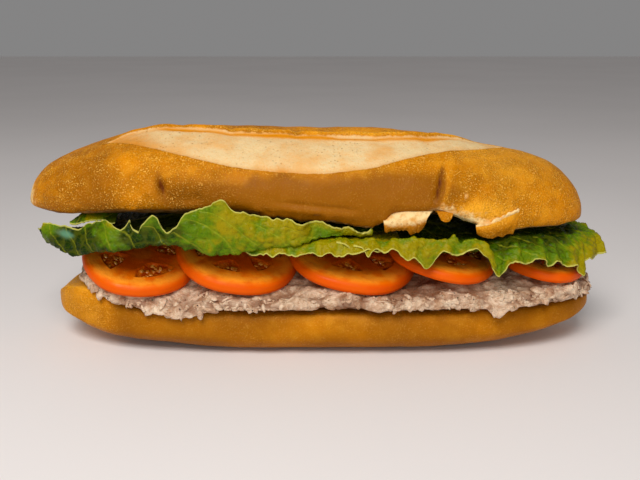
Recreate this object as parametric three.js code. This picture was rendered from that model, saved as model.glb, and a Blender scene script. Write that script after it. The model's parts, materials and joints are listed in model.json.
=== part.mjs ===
// Submarine sandwich on a twelve-inch crusty roll: the roll's lower half, a thick layer of creamy
// shredded salad, five overlapping tomato slices, three lettuce leaves and the slashed upper half.
// Millimetres, +Z up. X runs along the roll and -Y is the open front. The origin is at the middle
// of the base, on the surface that the sandwich stands on.
import * as THREE from "three";

// Driving dimensions.
const ROLL_LENGTH = 287; // upper half, tip to tip
const LOWER_LENGTH = 283; // the lower half is a little shorter
const UPPER_SHIFT = -6.3; // the upper half sits towards -X
const LOWER_SHIFT = 2.7;
const ROLL_HALF_WIDTH = 41; // at the widest line of either half
const LOWER_THICKNESS = 23.5; // lower half, base to rim, at the middle
const CREST_HEIGHT = 109.2; // top of the roll above the base
const UPPER_CUT_LEFT = 68.5; // height of the upper half's cut face at its -X end
const UPPER_CUT_RIGHT = 61; // and at its +X end, which leans down
const TOMATO_THICKNESS = 6.4;
const LEAF_THICKNESS = 1.2;
const GAP = 0.4; // left between neighbouring pieces

const COLOURS = {
  crust: { color: 0xc47f22, roughness: 0.55, metalness: 0 },
  salad: { color: 0xc3aa96, roughness: 0.6, metalness: 0 },
  tomato: { color: 0xd8500c, roughness: 0.25, metalness: 0 },
  lettuce: { color: 0x6f8a12, roughness: 0.45, metalness: 0 },
};

/** Value that eases from 0 to 1 as t goes from a to b. */
function ease(t, a, b) {
  const k = THREE.MathUtils.clamp((t - a) / (b - a), 0, 1);
  return k * k * (3 - 2 * k);
}

/** Function that eases from one [position, value] knot to the next. */
function profile(knots) {
  return (t) => {
    if (t <= knots[0][0]) return knots[0][1];
    for (let i = 1; i < knots.length; i++) {
      const [a, va] = knots[i - 1];
      const [b, vb] = knots[i];
      if (t <= b) return va + (vb - va) * ease(t, a, b);
    }
    return knots[knots.length - 1][1];
  };
}

/** Round-ended plan outline: 1 at the middle and 0 at the tips, s = -1 and 1. */
function taper(s, bluntness) {
  return Math.sqrt(Math.max(0, 1 - Math.abs(s) ** bluntness));
}

/** Power of a sine or cosine that keeps its sign. */
function signedPower(value, exponent) {
  return Math.sign(value) * Math.abs(value) ** exponent;
}

/**
 * Closed body that is long in X. Each ring of a sphere, whose poles are the two tips, is placed by
 * place(s, turn): s runs from -1 to 1 along the body, and turn from 0 to 1 round it, from the front
 * over the top to the back and home underneath.
 */
function longBody(around, along, place) {
  const geometry = new THREE.SphereGeometry(1, around, along);
  geometry.deleteAttribute("uv");
  geometry.deleteAttribute("normal");
  const position = geometry.attributes.position;
  for (let i = 0; i < position.count; i++) {
    const ring = Math.floor(i / (around + 1));
    const atTip = ring === 0 || ring === along;
    const turn = atTip ? 0 : ((i % (around + 1)) / around) % 1;
    const point = place(-Math.cos((Math.PI * ring) / along), turn);
    position.setXYZ(i, point.x, point.y, point.z);
  }
  return geometry;
}

// ---------------------------------------------------------------- upper half of the roll

const PLAN_BLUNTNESS = 3.4; // of both halves, seen from above
const CREST_BLUNTNESS = { left: 2.95, right: 2.25 }; // the +X end falls away more gently
const TIP_RISE = 4; // the tips lie this far above the cut face
const UPPER_WIDEST = 11; // height of the widest line above the cut face
const UNDERCUT = THREE.MathUtils.degToRad(23); // how far the crust curves in below that line
const UPPER_CRUST_SHARE = 0.74; // share of a ring's points that lie on the crust
const SLASH_DEPTH = 1.6;
const LIP_HEIGHT = 1.6;

/** Height of the upper half's cut face at x. It is level to the left and leans down to the right. */
const upperCut = profile([
  [-30, UPPER_CUT_LEFT],
  [110, UPPER_CUT_RIGHT],
]);

/**
 * Front edge, above or below the level of the cut face: lifted clear of the leaf to the left, then
 * torn, with the crust hanging in flaps either side of a ripped-out notch.
 */
const tear = profile([
  [-125, 0],
  [-110, 1.9],
  [-95, 4],
  [-70, 4.3],
  [-43, 5.8],
  [-26, 4.6],
  [-18, 0],
  [24, 0],
  [40, -2.5],
  [48, -1.5],
  [57, 5.5],
  [70, 2],
  [84, -1.2],
  [98, 0],
]);

/** Extra height of the crest, which stays full towards both ends. */
const shoulder = profile([
  [-150, 1],
  [-141, 2.9],
  [-118, 2.5],
  [-110, 1.7],
  [-95, 2.9],
  [-57, 1.9],
  [-36, 0],
  [80, 0],
  [98, 1.9],
  [107, 4.3],
  [122, 4.6],
  [131, 3.5],
  [137, 1],
]);

/** Relief of the baker's slash: a sunken pale field with a raised lip along its back edge. */
function slashRelief(s, angle) {
  const reach = taper(THREE.MathUtils.clamp(s * 1.28, -1, 1), 2.4);
  const front = Math.PI / 2 - 0.85 * reach;
  const back = Math.PI / 2 - 0.05;
  const inside = ease(angle, front - 0.12, front + 0.12) * (1 - ease(angle, back - 0.2, back));
  const lip = Math.exp(-(((angle - back - 0.08) / 0.14) ** 2));
  return reach * (LIP_HEIGHT * lip - SLASH_DEPTH * inside);
}

/** Point of the upper half: its domed crust, then its cut face from back to front. */
function upperPlace(s, turn) {
  const x = UPPER_SHIFT + (s * ROLL_LENGTH) / 2;
  const round = taper(s, s < 0 ? CREST_BLUNTNESS.left : CREST_BLUNTNESS.right);
  const width = ROLL_HALF_WIDTH * taper(s, PLAN_BLUNTNESS);
  const tip = upperCut(x) + TIP_RISE;
  const widest = tip + (UPPER_WIDEST - TIP_RISE) * round;
  const crest = tip + (CREST_HEIGHT - tip) * round + shoulder(x);
  const face = widest - UPPER_WIDEST * round;
  const edge = width * Math.cos(UNDERCUT);
  if (turn >= UPPER_CRUST_SHARE) {
    const across = (turn - UPPER_CRUST_SHARE) / (1 - UPPER_CRUST_SHARE);
    const y = edge * (1 - 2 * across);
    return new THREE.Vector3(x, y, face + tear(x) * ease(-y, edge / 2, edge));
  }
  const angle = -UNDERCUT + ((Math.PI + 2 * UNDERCUT) * turn) / UPPER_CRUST_SHARE;
  const y = -width * Math.cos(angle);
  if (angle > 0 && angle < Math.PI) {
    const rise = crest - widest + slashRelief(s, angle);
    return new THREE.Vector3(x, y, widest + rise * Math.sin(angle));
  }
  const below = -Math.sin(angle) / Math.sin(UNDERCUT);
  const torn = angle < 0 ? tear(x) * below : 0;
  return new THREE.Vector3(x, y, widest - (widest - face) * below + torn);
}

// ---------------------------------------------------------------- lower half of the roll

const LOWER_WIDEST = 14; // height of the widest line above the base
const LOWER_TIP = 20.5; // height of the tips
const LOWER_CRUST_SHARE = 0.7; // share of a ring's points that lie on the crust
const LOWER_SQUARENESS = 0.62; // under 1: the crust's section is squarer than an ellipse
const RIM_ANGLE = Math.asin(0.32); // how far above the widest line the rim turns in
const RIM_INSET = 0.97;
const BASE_CUT = 1.6; // what is flattened off the rounded underside, so that it stands
const RIGHT_LIFT = 16; // the underside turns up this far to the +X tip
const END_BLUNTNESS = 9;
const DISH = 1.5; // how far the cut face sinks between its rims

/** How far the underside turns up towards the squarer -X end. */
const leftLift = profile([
  [-133, 13],
  [-108, 4.6],
  [-84, 4],
  [-45, 0],
]);

/** Height of the lower half's rim. The -X end curls up. */
const lowerRim = profile([
  [-130, 34],
  [-88, LOWER_THICKNESS],
  [110, LOWER_THICKNESS],
  [138, LOWER_THICKNESS + 2],
]);

/** Height of the lower half's cut face along its rim, at a share s of its half length. */
function lowerFace(s) {
  const x = LOWER_SHIFT + (s * LOWER_LENGTH) / 2;
  return LOWER_TIP + (lowerRim(x) - LOWER_TIP) * taper(s, END_BLUNTNESS);
}

/** Point of the lower half: its dished cut face from front to back, then its crust underneath. */
function lowerPlace(s, turn) {
  const x = LOWER_SHIFT + (s * LOWER_LENGTH) / 2;
  const width = ROLL_HALF_WIDTH * taper(s, PLAN_BLUNTNESS);
  const round = taper(s, END_BLUNTNESS);
  const rim = lowerFace(s);
  const edge = width * RIM_INSET * Math.cos(RIM_ANGLE) ** LOWER_SQUARENESS;
  if (turn < 1 - LOWER_CRUST_SHARE) {
    const across = turn / (1 - LOWER_CRUST_SHARE);
    const dish = DISH * round * Math.sin(Math.PI * across);
    return new THREE.Vector3(x, edge * (2 * across - 1), rim - dish);
  }
  const widest = LOWER_TIP + (LOWER_WIDEST - LOWER_TIP) * round;
  const lift = s < 0 ? leftLift(x) : RIGHT_LIFT * s ** 3;
  const base = LOWER_TIP + (lift - BASE_CUT - LOWER_TIP) * round;
  // From the back rim, under the base, to the front rim.
  const share = (turn - 1 + LOWER_CRUST_SHARE) / LOWER_CRUST_SHARE;
  const angle = RIM_ANGLE - (Math.PI + 2 * RIM_ANGLE) * share;
  const out = signedPower(Math.cos(angle), LOWER_SQUARENESS);
  const down = Math.max(0, -Math.sin(angle)) ** 0.85;
  const up = Math.max(0, Math.sin(angle)) / Math.sin(RIM_ANGLE);
  const y = width * out * (1 - (1 - RIM_INSET) * up);
  const z = widest - (widest - base) * down + (rim - widest) * up;
  return new THREE.Vector3(x, y, Math.max(0, z));
}

// ---------------------------------------------------------------- tomato slices

// Each slice leans forward by pitch and is rolled, so that its -X side lies on its neighbour.
const SLICES = [
  { x: -92, y: -11.5, z: 43.4, radius: 31, pitch: 19, roll: 10 },
  { x: -42, y: -10.5, z: 44.8, radius: 33.5, pitch: 16, roll: 10.5 },
  { x: 17, y: -7.5, z: 43.2, radius: 35.5, pitch: 12, roll: 9 },
  { x: 63, y: -12, z: 46, radius: 30, pitch: 9, roll: 11 },
  { x: 116, y: -12, z: 41.5, radius: 21.5, pitch: 6, roll: 7 },
];
const SLICE_SIDES = 26;
const SKIN_ROUND = 1.6; // the skin's edge is rounded by this much

/** Slopes of a slice's plane along Y and X. */
function slopes(slice) {
  return {
    pitch: Math.tan(THREE.MathUtils.degToRad(slice.pitch)),
    roll: Math.tan(THREE.MathUtils.degToRad(slice.roll)),
  };
}

/** Height of a slice's under (side -1) or upper (side 1) face above the point x, y. */
function sliceHeight(slice, x, y, side) {
  const { pitch, roll } = slopes(slice);
  const half = (TOMATO_THICKNESS / 2) * Math.hypot(1, pitch, roll);
  return slice.z + (y - slice.y) * pitch - (x - slice.x) * roll + side * half;
}

/** Slice as a round-edged disc, a little out of round with five faint lobes. */
function tomatoSlice(slice, index) {
  const r = slice.radius;
  const h = TOMATO_THICKNESS / 2;
  const outline = [
    new THREE.Vector2(0, -h),
    new THREE.Vector2(r - SKIN_ROUND, -h),
    new THREE.Vector2(r, -h + SKIN_ROUND),
    new THREE.Vector2(r, h - SKIN_ROUND),
    new THREE.Vector2(r - SKIN_ROUND, h),
    new THREE.Vector2(0, h),
  ];
  const geometry = new THREE.LatheGeometry(outline, SLICE_SIDES);
  geometry.deleteAttribute("uv");
  geometry.deleteAttribute("normal");
  geometry.rotateX(Math.PI / 2);
  const position = geometry.attributes.position;
  for (let i = 0; i < position.count; i++) {
    const bearing = Math.atan2(position.getY(i), position.getX(i));
    const lobes = 1 - 0.012 * (1 + Math.cos(5 * bearing + index)) - 0.01 * (1 + Math.cos(2 * bearing));
    position.setXY(i, position.getX(i) * lobes, position.getY(i) * lobes);
  }
  const mesh = new THREE.Mesh(geometry, material("tomato"));
  mesh.name = `tomato_slice_${index + 1}`;
  mesh.position.set(slice.x, slice.y, slice.z);
  const { pitch, roll } = slopes(slice);
  const normal = new THREE.Vector3(roll, -pitch, 1).normalize();
  mesh.quaternion.setFromUnitVectors(new THREE.Vector3(0, 0, 1), normal);
  return mesh;
}

// ---------------------------------------------------------------- salad filling

const SALAD_LENGTH = 270;
const SALAD_SHIFT = 8.5;
const SALAD_FRONT = 44.5; // how far it reaches forward of the middle
const SALAD_BACK = 40;
const SALAD_BLUNTNESS = 5; // of its outline, seen from above
const SALAD_EDGE = 33; // height of its upper surface along the front
const SALAD_TOP = 52; // height of its crest, behind the tomato slices
const SALAD_CLEARANCE = 1.4; // from the slices' under faces
const SALAD_HOLLOW = 2.5; // how far past a slice's edge the salad stays pressed down
const SALAD_RISE = 0.8; // slope at which it rises again beyond that
const LEAST_SALAD = 1.5; // thickness where the slices press it most

/** How far the salad hangs below the rim along the front, with two drips. */
const drip = profile([
  [-118, 0],
  [-100, 3],
  [-82, 2.2],
  [-66, 6],
  [-50, 2],
  [-30, 0],
  [76, 0],
  [92, 4.5],
  [104, 0],
]);

/** Gentle lumps, from 0 to 1. */
function lumps(x, y) {
  return 0.5 + 0.25 * Math.sin(0.21 * x + 0.09 * y) + 0.25 * Math.sin(0.47 * x - 0.33 * y + 1);
}

/** Height of the salad's upper surface: a mound, pressed down by the slices that lie on it. */
function saladTop(x, y) {
  const front = ease(y, -SALAD_FRONT, 14);
  const back = 1 - 0.7 * ease(y, 14, SALAD_BACK + 8);
  const ends = taper(THREE.MathUtils.clamp((x - SALAD_SHIFT) / (SALAD_LENGTH / 2), -1, 1), 4);
  let top = SALAD_EDGE + (SALAD_TOP - SALAD_EDGE) * front * back * ends - 2 * lumps(x, y);
  for (const slice of SLICES) {
    const beyond = Math.hypot(x - slice.x, y - slice.y) - slice.radius - SALAD_HOLLOW;
    const pressed = sliceHeight(slice, x, y, -1) - SALAD_CLEARANCE;
    top = Math.min(top, pressed + SALAD_RISE * Math.max(0, beyond));
  }
  return top;
}

/** Point of the salad, which fills the space between the lower half's cut face and the mound. */
function saladPlace(s, turn) {
  const x = SALAD_SHIFT + (s * SALAD_LENGTH) / 2;
  const plan = taper(s, SALAD_BLUNTNESS);
  const angle = 2 * Math.PI * turn; // front, top, back, underside
  const across = -signedPower(Math.cos(angle), 0.85);
  const reach = across < 0 ? SALAD_FRONT : SALAD_BACK;
  const y = across * (reach * plan - 1.2 * lumps(x * 1.7, across * 20));
  const share = THREE.MathUtils.clamp(((x - LOWER_SHIFT) * 2) / LOWER_LENGTH, -1, 1);
  const bottom = lowerFace(share) + GAP;
  const top = Math.max(bottom + LEAST_SALAD, saladTop(x, y));
  const height = signedPower(Math.sin(angle), 0.5) * ((top - bottom) / 2) * plan ** 0.5;
  const hang = drip(x) * ease(-across, 0.95, 0.985);
  return new THREE.Vector3(x, y, (top + bottom) / 2 + height - hang);
}

// ---------------------------------------------------------------- lettuce leaves

const LEAF_ACROSS = 14; // steps from a leaf's front edge to its back edge
const MARGIN = 0.62; // the leaf turns up or down beyond this share of its half width

// Heights are of the midrib; the curls are how far the front and back margins turn up from it, or
// hang down where negative; the folds are how far the leaf sags just inside those margins.
const LEAVES = {
  lettuce_leaf_left: {
    tip: -147.5,
    stem: 26,
    along: 22,
    halfWidth: 46.5,
    height: profile([[-147, 59], [-115, 61.5], [-60, 63.8], [26, 63.8]]),
    frontCurl: profile([
      [-147, 1], [-126, 6], [-108, 4], [-92, 9], [-78, 4], [-50, 16], [-30, 8], [26, 0.5],
    ]),
    backCurl: profile([[-147, 1], [-118, -4], [-86, -7], [-50, 1], [-24, 5], [26, 0]]),
    fold: profile([[-140, 3], [-116, 10], [-60, 10], [-20, 5], [26, 0.5]]),
  },
  lettuce_leaf_right: {
    tip: 150.5,
    stem: 0,
    along: 22,
    halfWidth: 46,
    height: profile([[0, 60.3], [60, 60.2], [120, 58.8], [138, 57], [151, 49]]),
    frontCurl: profile([
      [0, -1], [24, -2], [44, -8], [62, -3], [86, -14], [106, -5], [124, -9], [134, -12], [150, -2],
    ]),
    backCurl: profile([[0, -1], [26, -4.5], [48, -3], [74, -9], [98, -4], [124, -6], [150, -2]]),
    fold: profile([[0, 0], [150, 0]]),
  },
  lettuce_leaf_inner: {
    tip: -46,
    stem: 40,
    along: 12,
    halfWidth: 42,
    height: profile([[-46, 58], [40, 57.6]]),
    frontCurl: profile([[-46, -1.5], [-20, -4], [6, -5], [40, -3]]),
    backCurl: profile([[-46, -1], [0, -4], [40, -2]]),
    fold: profile([[-46, 0], [40, 0]]),
  },
};

/** Point on the middle of a leaf: u runs from its tip to its stem and v from -1 to 1 across it. */
function leafPoint(leaf, u, v) {
  const x = leaf.tip + (leaf.stem - leaf.tip) * u;
  const width = leaf.halfWidth * Math.sqrt(1 - (1 - u) ** 4) * (1 - 0.2 * ease(u, 0.75, 1)) + 2;
  const out = Math.abs(v);
  const y = width * Math.sign(v) * (1 - (1 - out) ** 1.5);
  const curl = v < 0 ? leaf.frontCurl(x) : leaf.backCurl(x);
  const sag = leaf.fold(x) * Math.exp(-(((out - 0.75) / 0.2) ** 2)) * (v < 0 ? 1 : 0.4);
  return new THREE.Vector3(x, y, leaf.height(x) + curl * ease(out, MARGIN, 1) - sag);
}

/** Leaf as a closed sheet of even thickness. */
function leafSheet(leaf) {
  const geometry = new THREE.BoxGeometry(2, 2, 2, leaf.along, LEAF_ACROSS, 1);
  geometry.deleteAttribute("uv");
  geometry.deleteAttribute("normal");
  const position = geometry.attributes.position;
  const step = 0.02;
  for (let i = 0; i < position.count; i++) {
    const u = (position.getX(i) + 1) / 2;
    const v = position.getY(i);
    const [u0, u1] = [Math.max(0, u - step), Math.min(1, u + step)];
    const [v0, v1] = [Math.max(-1, v - step), Math.min(1, v + step)];
    const lengthwise = leafPoint(leaf, u1, v).sub(leafPoint(leaf, u0, v));
    const crosswise = leafPoint(leaf, u, v1).sub(leafPoint(leaf, u, v0));
    const normal = lengthwise.cross(crosswise).normalize();
    const point = leafPoint(leaf, u, v);
    point.addScaledVector(normal, (Math.sign(position.getZ(i)) * LEAF_THICKNESS) / 2);
    position.setXYZ(i, point.x, point.y, point.z);
  }
  return geometry;
}

// ---------------------------------------------------------------- assembly

function material(name) {
  return new THREE.MeshStandardMaterial(COLOURS[name]);
}

function named(name, geometry, materialName) {
  const mesh = new THREE.Mesh(geometry, material(materialName));
  mesh.name = name;
  return mesh;
}

const sandwich = new THREE.Group();
sandwich.add(named("roll_lower_half", longBody(26, 34, lowerPlace), "crust"));
sandwich.add(named("salad_filling", longBody(20, 40, saladPlace), "salad"));
SLICES.forEach((slice, index) => sandwich.add(tomatoSlice(slice, index)));
for (const [name, leaf] of Object.entries(LEAVES)) {
  sandwich.add(named(name, leafSheet(leaf), "lettuce"));
}
sandwich.add(named("roll_upper_half", longBody(26, 38, upperPlace), "crust"));

// The middle of the base becomes the origin.
const bounds = new THREE.Box3().setFromObject(sandwich, true);
const centre = bounds.getCenter(new THREE.Vector3());
sandwich.position.set(-centre.x, -centre.y, -bounds.min.z);

export default sandwich;
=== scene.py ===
"""Looks of a filled submarine roll: crust, crumb, shredded salad, tomato slices and lettuce.

Every size in the dataclasses is in millimetres. Places along the roll are measured from the middle
of the CAD node that a piece stands for, and heights from the surface that the sandwich stands on.
"""

import itertools
import json
import logging
import math
from dataclasses import dataclass
from enum import Enum
from typing import Optional, Sequence

import bpy
import numpy as np
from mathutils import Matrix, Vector

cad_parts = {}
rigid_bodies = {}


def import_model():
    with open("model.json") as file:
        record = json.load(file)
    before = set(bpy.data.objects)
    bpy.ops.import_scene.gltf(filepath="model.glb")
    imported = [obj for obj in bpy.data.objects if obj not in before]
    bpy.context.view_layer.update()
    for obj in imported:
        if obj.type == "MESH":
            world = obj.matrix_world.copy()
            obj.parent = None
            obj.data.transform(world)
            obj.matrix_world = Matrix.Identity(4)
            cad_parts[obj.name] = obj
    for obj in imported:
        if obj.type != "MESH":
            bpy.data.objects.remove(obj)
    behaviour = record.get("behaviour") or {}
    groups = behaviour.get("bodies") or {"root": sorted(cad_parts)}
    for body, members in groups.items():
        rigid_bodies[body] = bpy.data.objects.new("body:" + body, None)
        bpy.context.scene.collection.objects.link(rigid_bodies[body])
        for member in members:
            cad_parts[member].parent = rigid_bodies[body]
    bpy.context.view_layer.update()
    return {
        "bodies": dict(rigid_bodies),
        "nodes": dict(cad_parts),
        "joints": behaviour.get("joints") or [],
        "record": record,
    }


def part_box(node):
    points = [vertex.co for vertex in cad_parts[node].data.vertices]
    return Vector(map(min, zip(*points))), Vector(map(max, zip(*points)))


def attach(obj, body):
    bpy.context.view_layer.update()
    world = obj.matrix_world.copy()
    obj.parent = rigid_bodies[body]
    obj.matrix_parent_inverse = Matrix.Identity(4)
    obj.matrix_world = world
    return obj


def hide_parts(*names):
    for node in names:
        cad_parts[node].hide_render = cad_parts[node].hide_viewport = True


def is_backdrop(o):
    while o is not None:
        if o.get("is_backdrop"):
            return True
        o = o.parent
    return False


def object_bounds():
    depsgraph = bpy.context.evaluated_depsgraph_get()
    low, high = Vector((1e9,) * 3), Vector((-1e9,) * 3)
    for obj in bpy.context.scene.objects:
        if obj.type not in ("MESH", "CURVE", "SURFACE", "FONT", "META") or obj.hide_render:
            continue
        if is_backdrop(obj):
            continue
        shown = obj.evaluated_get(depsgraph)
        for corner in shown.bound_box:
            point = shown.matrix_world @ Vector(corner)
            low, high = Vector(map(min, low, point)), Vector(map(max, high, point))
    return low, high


LOG = logging.getLogger("submarine_roll")
MM = 0.001
STRANDS = (0.35, 0.8, 1.3)  # scales of the axes in which the salad's fibres are round
OUTSIDE = -5.0  # depth in the slash of what lies outside it

Array = np.ndarray
Socket = bpy.types.NodeSocket
Knots = Sequence[Sequence[float]]
Piece = bpy.types.Object
Material = bpy.types.Material
Draw = np.random.Generator
Tint = tuple[int, int, int]  # display colour, from 0 to 255


class Slot(Enum):
    """Material slots of the record."""

    CRUST = "crust"
    SALAD = "salad"
    TOMATO = "tomato"
    LETTUCE = "lettuce"


# ------------------------------------------------------------------------------ numbers and noise


def ease(value: Array, low: float, high: float) -> Array:
    """Value that eases from 0 to 1 between two limits.

    Args:
        value: What is measured.
        low: Where the result is 0.
        high: Where the result is 1.

    Returns:
        The eased share, the same shape as value.
    """
    share = np.clip((value - low) / (high - low), 0, 1)
    return share * share * (3 - 2 * share)


def bump(value: Array, middle: float, width: float) -> Array:
    """Bell curve of height 1 around a middle."""
    return np.exp(-(((value - middle) / width) ** 2))


def through(knots: Knots, t: Array) -> Array:
    """Smooth curve through knots.

    Args:
        knots: Rows of a rising parameter and one or more values.
        t: Parameters to read the curve at.

    Returns:
        One row of values for each parameter, or a flat array where knots hold one value.
    """
    table = np.array(knots, float)
    at, values = table[:, 0], table[:, 1:]
    slopes = np.gradient(values, at, axis=0)
    t = np.clip(t, at[0], at[-1])
    i = np.clip(np.searchsorted(at, t) - 1, 0, len(at) - 2)
    step = at[i + 1] - at[i]
    s = ((t - at[i]) / step)[:, None]
    step = step[:, None]
    rise = values[i + 1] - values[i]
    start, end = slopes[i] * step, slopes[i + 1] * step
    curve = values[i] + s * start + s**2 * (3 * rise - 2 * start - end) + s**3 * (start + end - 2 * rise)
    return curve[:, 0] if curve.shape[1] == 1 else curve


def hashed(nodes: Array, seed: int) -> Array:
    """Random number from 0 to 1 for each row of whole numbers.

    Args:
        nodes: Rows of three whole numbers.
        seed: Chooses the numbers.

    Returns:
        One number for each row.
    """
    key = nodes[:, 0] * 73856093 ^ nodes[:, 1] * 19349663 ^ nodes[:, 2] * 83492791 ^ (seed * 40503)
    key = ((key ^ (key >> 13)) * 1274126177) & 0x7FFFFFFF
    return ((key ^ (key >> 15)) & 0xFFFF) / 65535


def noise(points: Array, cell: float, seed: int) -> Array:
    """Smooth random field.

    Args:
        points: Rows of x, y, z.
        cell: Size of the field's lumps, in the unit of points.
        seed: Chooses the field.

    Returns:
        A value from -1 to 1 for each point.
    """
    scaled = points / cell + 1000.0
    low = np.floor(scaled).astype(np.int64)
    share = scaled - low
    share = share * share * (3 - 2 * share)
    total = np.zeros(len(points))
    for corner in itertools.product((0, 1), repeat=3):
        value = hashed(low + np.array(corner), seed) * 2 - 1
        total += value * np.prod(np.where(corner, share, 1 - share), axis=1)
    return total


def noises(points: Array, cell: float, seed: int) -> Array:
    """Three noise fields, as the columns of one array."""
    return np.stack([noise(points, cell, seed + k) for k in range(3)], axis=1)


def rough(points: Array, cell: float, seed: int, octaves: int = 3) -> Array:
    """Sum of noise fields, each half as large and half as strong as the one before."""
    return sum(noise(points, cell / 2**k, seed + k) / 2**k for k in range(octaves))


def cells(points: Array, cell: float, seed: int) -> tuple[Array, Array]:
    """Pattern of irregular cells.

    Args:
        points: Rows of x, y, z.
        cell: Size of the cells, in the unit of points.
        seed: Chooses the pattern.

    Returns:
        Distance to the nearest cell's middle and to the second nearest, in cells.
    """
    scaled = points / cell + 1000.0
    low = np.floor(scaled).astype(np.int64)
    nearest = np.full(len(points), 9.0)
    second = nearest.copy()
    for step in itertools.product((-1, 0, 1), repeat=3):
        node = low + np.array(step)
        middle = node + np.stack([hashed(node, seed + k) for k in range(3)], axis=1)
        away = np.linalg.norm(scaled - middle, axis=1)
        second = np.minimum(second, np.maximum(nearest, away))
        nearest = np.minimum(nearest, away)
    return nearest, second


def loft(rails: Sequence[Knots], spread: Sequence[float], along: int, across: int) -> Array:
    """Smooth sheet laid through rails that run in X, with its finest steps at the first rail.

    Args:
        rails: Places along each rail, whose x rises or falls steadily.
        spread: Share across the sheet of each rail.
        along: Number of points along the sheet.
        across: Number of points across it.

    Returns:
        A grid of places, one row for each step along.
    """
    u, v = np.linspace(0, 1, along), np.linspace(0, 1, across)
    v = v * (0.35 + 0.65 * v)
    lines = []
    for rail in rails:
        first, last = rail[0][0], rail[-1][0]
        way = 1 if last > first else -1
        x = first + u * (last - first)
        lines.append(np.column_stack([x, through([(way * px, py, pz) for px, py, pz in rail], way * x)]))
    table = np.column_stack([spread, np.stack(lines).reshape(len(rails), -1)])
    return through(table, v).reshape(across, along, 3).transpose(1, 0, 2)


def colour(red: int, green: int, blue: int) -> tuple[float, ...]:
    """Display colour, from 0 to 255, as the linear values that shaders take.

    Args:
        red: Red, from 0 to 255.
        green: Green, from 0 to 255.
        blue: Blue, from 0 to 255.

    Returns:
        Linear red, green and blue, and an alpha of 1.
    """

    def linear(value: float) -> float:
        """One channel as a linear value."""
        value /= 255
        return value / 12.92 if value <= 0.04045 else ((value + 0.055) / 1.055) ** 2.4

    return linear(red), linear(green), linear(blue), 1.0


# ------------------------------------------------------------------------------ mesh handling


def activate(piece: Piece) -> None:
    """Makes a piece the only selected object and the active one.

    Args:
        piece: The object that operators then act on.
    """
    bpy.ops.object.select_all(action="DESELECT")
    piece.select_set(True)
    bpy.context.view_layer.objects.active = piece


def node_box(name: str) -> tuple[Array, Array]:
    """Lowest and highest corner of a CAD node, in millimetres."""
    low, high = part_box(name)
    return np.array(low) / MM, np.array(high) / MM


def copy_node(node: Piece, name: str) -> Piece:
    """Copy of a CAD node as a clean mesh of quads.

    Args:
        node: The CAD node, which stays as it is.
        name: Name of the copy.

    Returns:
        The copy, merged, in place.
    """
    piece = bpy.data.objects.new(name, node.data.copy())
    piece.data.materials.clear()
    bpy.context.scene.collection.objects.link(piece)
    activate(piece)
    bpy.ops.object.mode_set(mode="EDIT")
    bpy.ops.mesh.select_all(action="SELECT")
    bpy.ops.mesh.remove_doubles(threshold=1e-6)
    bpy.ops.mesh.tris_convert_to_quads()
    bpy.ops.object.mode_set(mode="OBJECT")
    return piece


def apply_modifier(piece: Piece, kind: str, **settings: object) -> None:
    """Adds a modifier to a piece with its settings, and applies it.

    Args:
        piece: The object to change.
        kind: The modifier's type.
        settings: The modifier's properties.
    """
    activate(piece)
    modifier = piece.modifiers.new(kind.lower(), kind)
    for key, value in settings.items():
        setattr(modifier, key, value)
    bpy.ops.object.modifier_apply(modifier=modifier.name)


def subdivide(piece: Piece, levels: int) -> None:
    """Applies a subdivision surface."""
    apply_modifier(piece, "SUBSURF", levels=levels, render_levels=levels)


def places(piece: Piece) -> Array:
    """Vertex places of a piece, in millimetres, one row each.

    Args:
        piece: A mesh object.

    Returns:
        One row for each vertex, in millimetres.
    """
    flat = np.empty(len(piece.data.vertices) * 3, np.float32)
    piece.data.vertices.foreach_get("co", flat)
    return flat.reshape(-1, 3).astype(float) / MM


def normals(piece: Piece) -> Array:
    """Vertex normals of a piece, one row each.

    Args:
        piece: A mesh object.

    Returns:
        One unit row for each vertex.
    """
    flat = np.empty(len(piece.data.vertices) * 3, np.float32)
    piece.data.vertices.foreach_get("normal", flat)
    return flat.reshape(-1, 3).astype(float)


def move_to(piece: Piece, points: Array) -> None:
    """Puts a piece's vertices at new places, in millimetres."""
    piece.data.vertices.foreach_set("co", (points * MM).astype(np.float32).ravel())
    piece.data.update()


def paint(piece: Piece, **numbers: Array) -> None:
    """Stores numbers for each vertex, under the names that materials read.

    Args:
        piece: A mesh object.
        numbers: For each name, one number for each vertex.
    """
    for name, values in numbers.items():
        layer = piece.data.attributes.new(name, "FLOAT", "POINT")
        layer.data.foreach_set("value", np.asarray(values, np.float32))


def sheet(name: str, grid: Array) -> tuple[Piece, Array, Array]:
    """Mesh laid through a grid of places.

    Args:
        name: Name of the piece.
        grid: The places, in millimetres, one row for each step along.

    Returns:
        The piece, and the row and the column of each of its vertices.
    """
    along, across = grid.shape[:2]
    bpy.ops.object.select_all(action="DESELECT")
    bpy.ops.mesh.primitive_grid_add(x_subdivisions=along - 1, y_subdivisions=across - 1, size=2.0)
    piece = bpy.context.active_object
    piece.name = piece.data.name = name
    unit = places(piece) * MM
    i = np.round((unit[:, 0] + 1) / 2 * (along - 1)).astype(int)
    j = np.round((unit[:, 1] + 1) / 2 * (across - 1)).astype(int)
    move_to(piece, grid[i, j])
    return piece, i, j


def smooth(piece: Piece) -> None:
    """Shades a piece smooth."""
    activate(piece)
    bpy.ops.object.shade_smooth()


def finish_piece(
    piece: Piece, material: Material, nodes: Sequence[str] = ()
) -> Piece:
    """Dresses a piece and ties it to the frame.

    Args:
        piece: The finished mesh.
        material: Its finish.
        nodes: CAD nodes that the piece stands for.

    Returns:
        The same piece.
    """
    piece.data.materials.clear()
    piece.data.materials.append(material)
    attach(piece, "root")
    if nodes:
        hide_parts(*nodes)
    LOG.info("%s: %d faces", piece.name, len(piece.data.polygons))
    return piece


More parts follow.
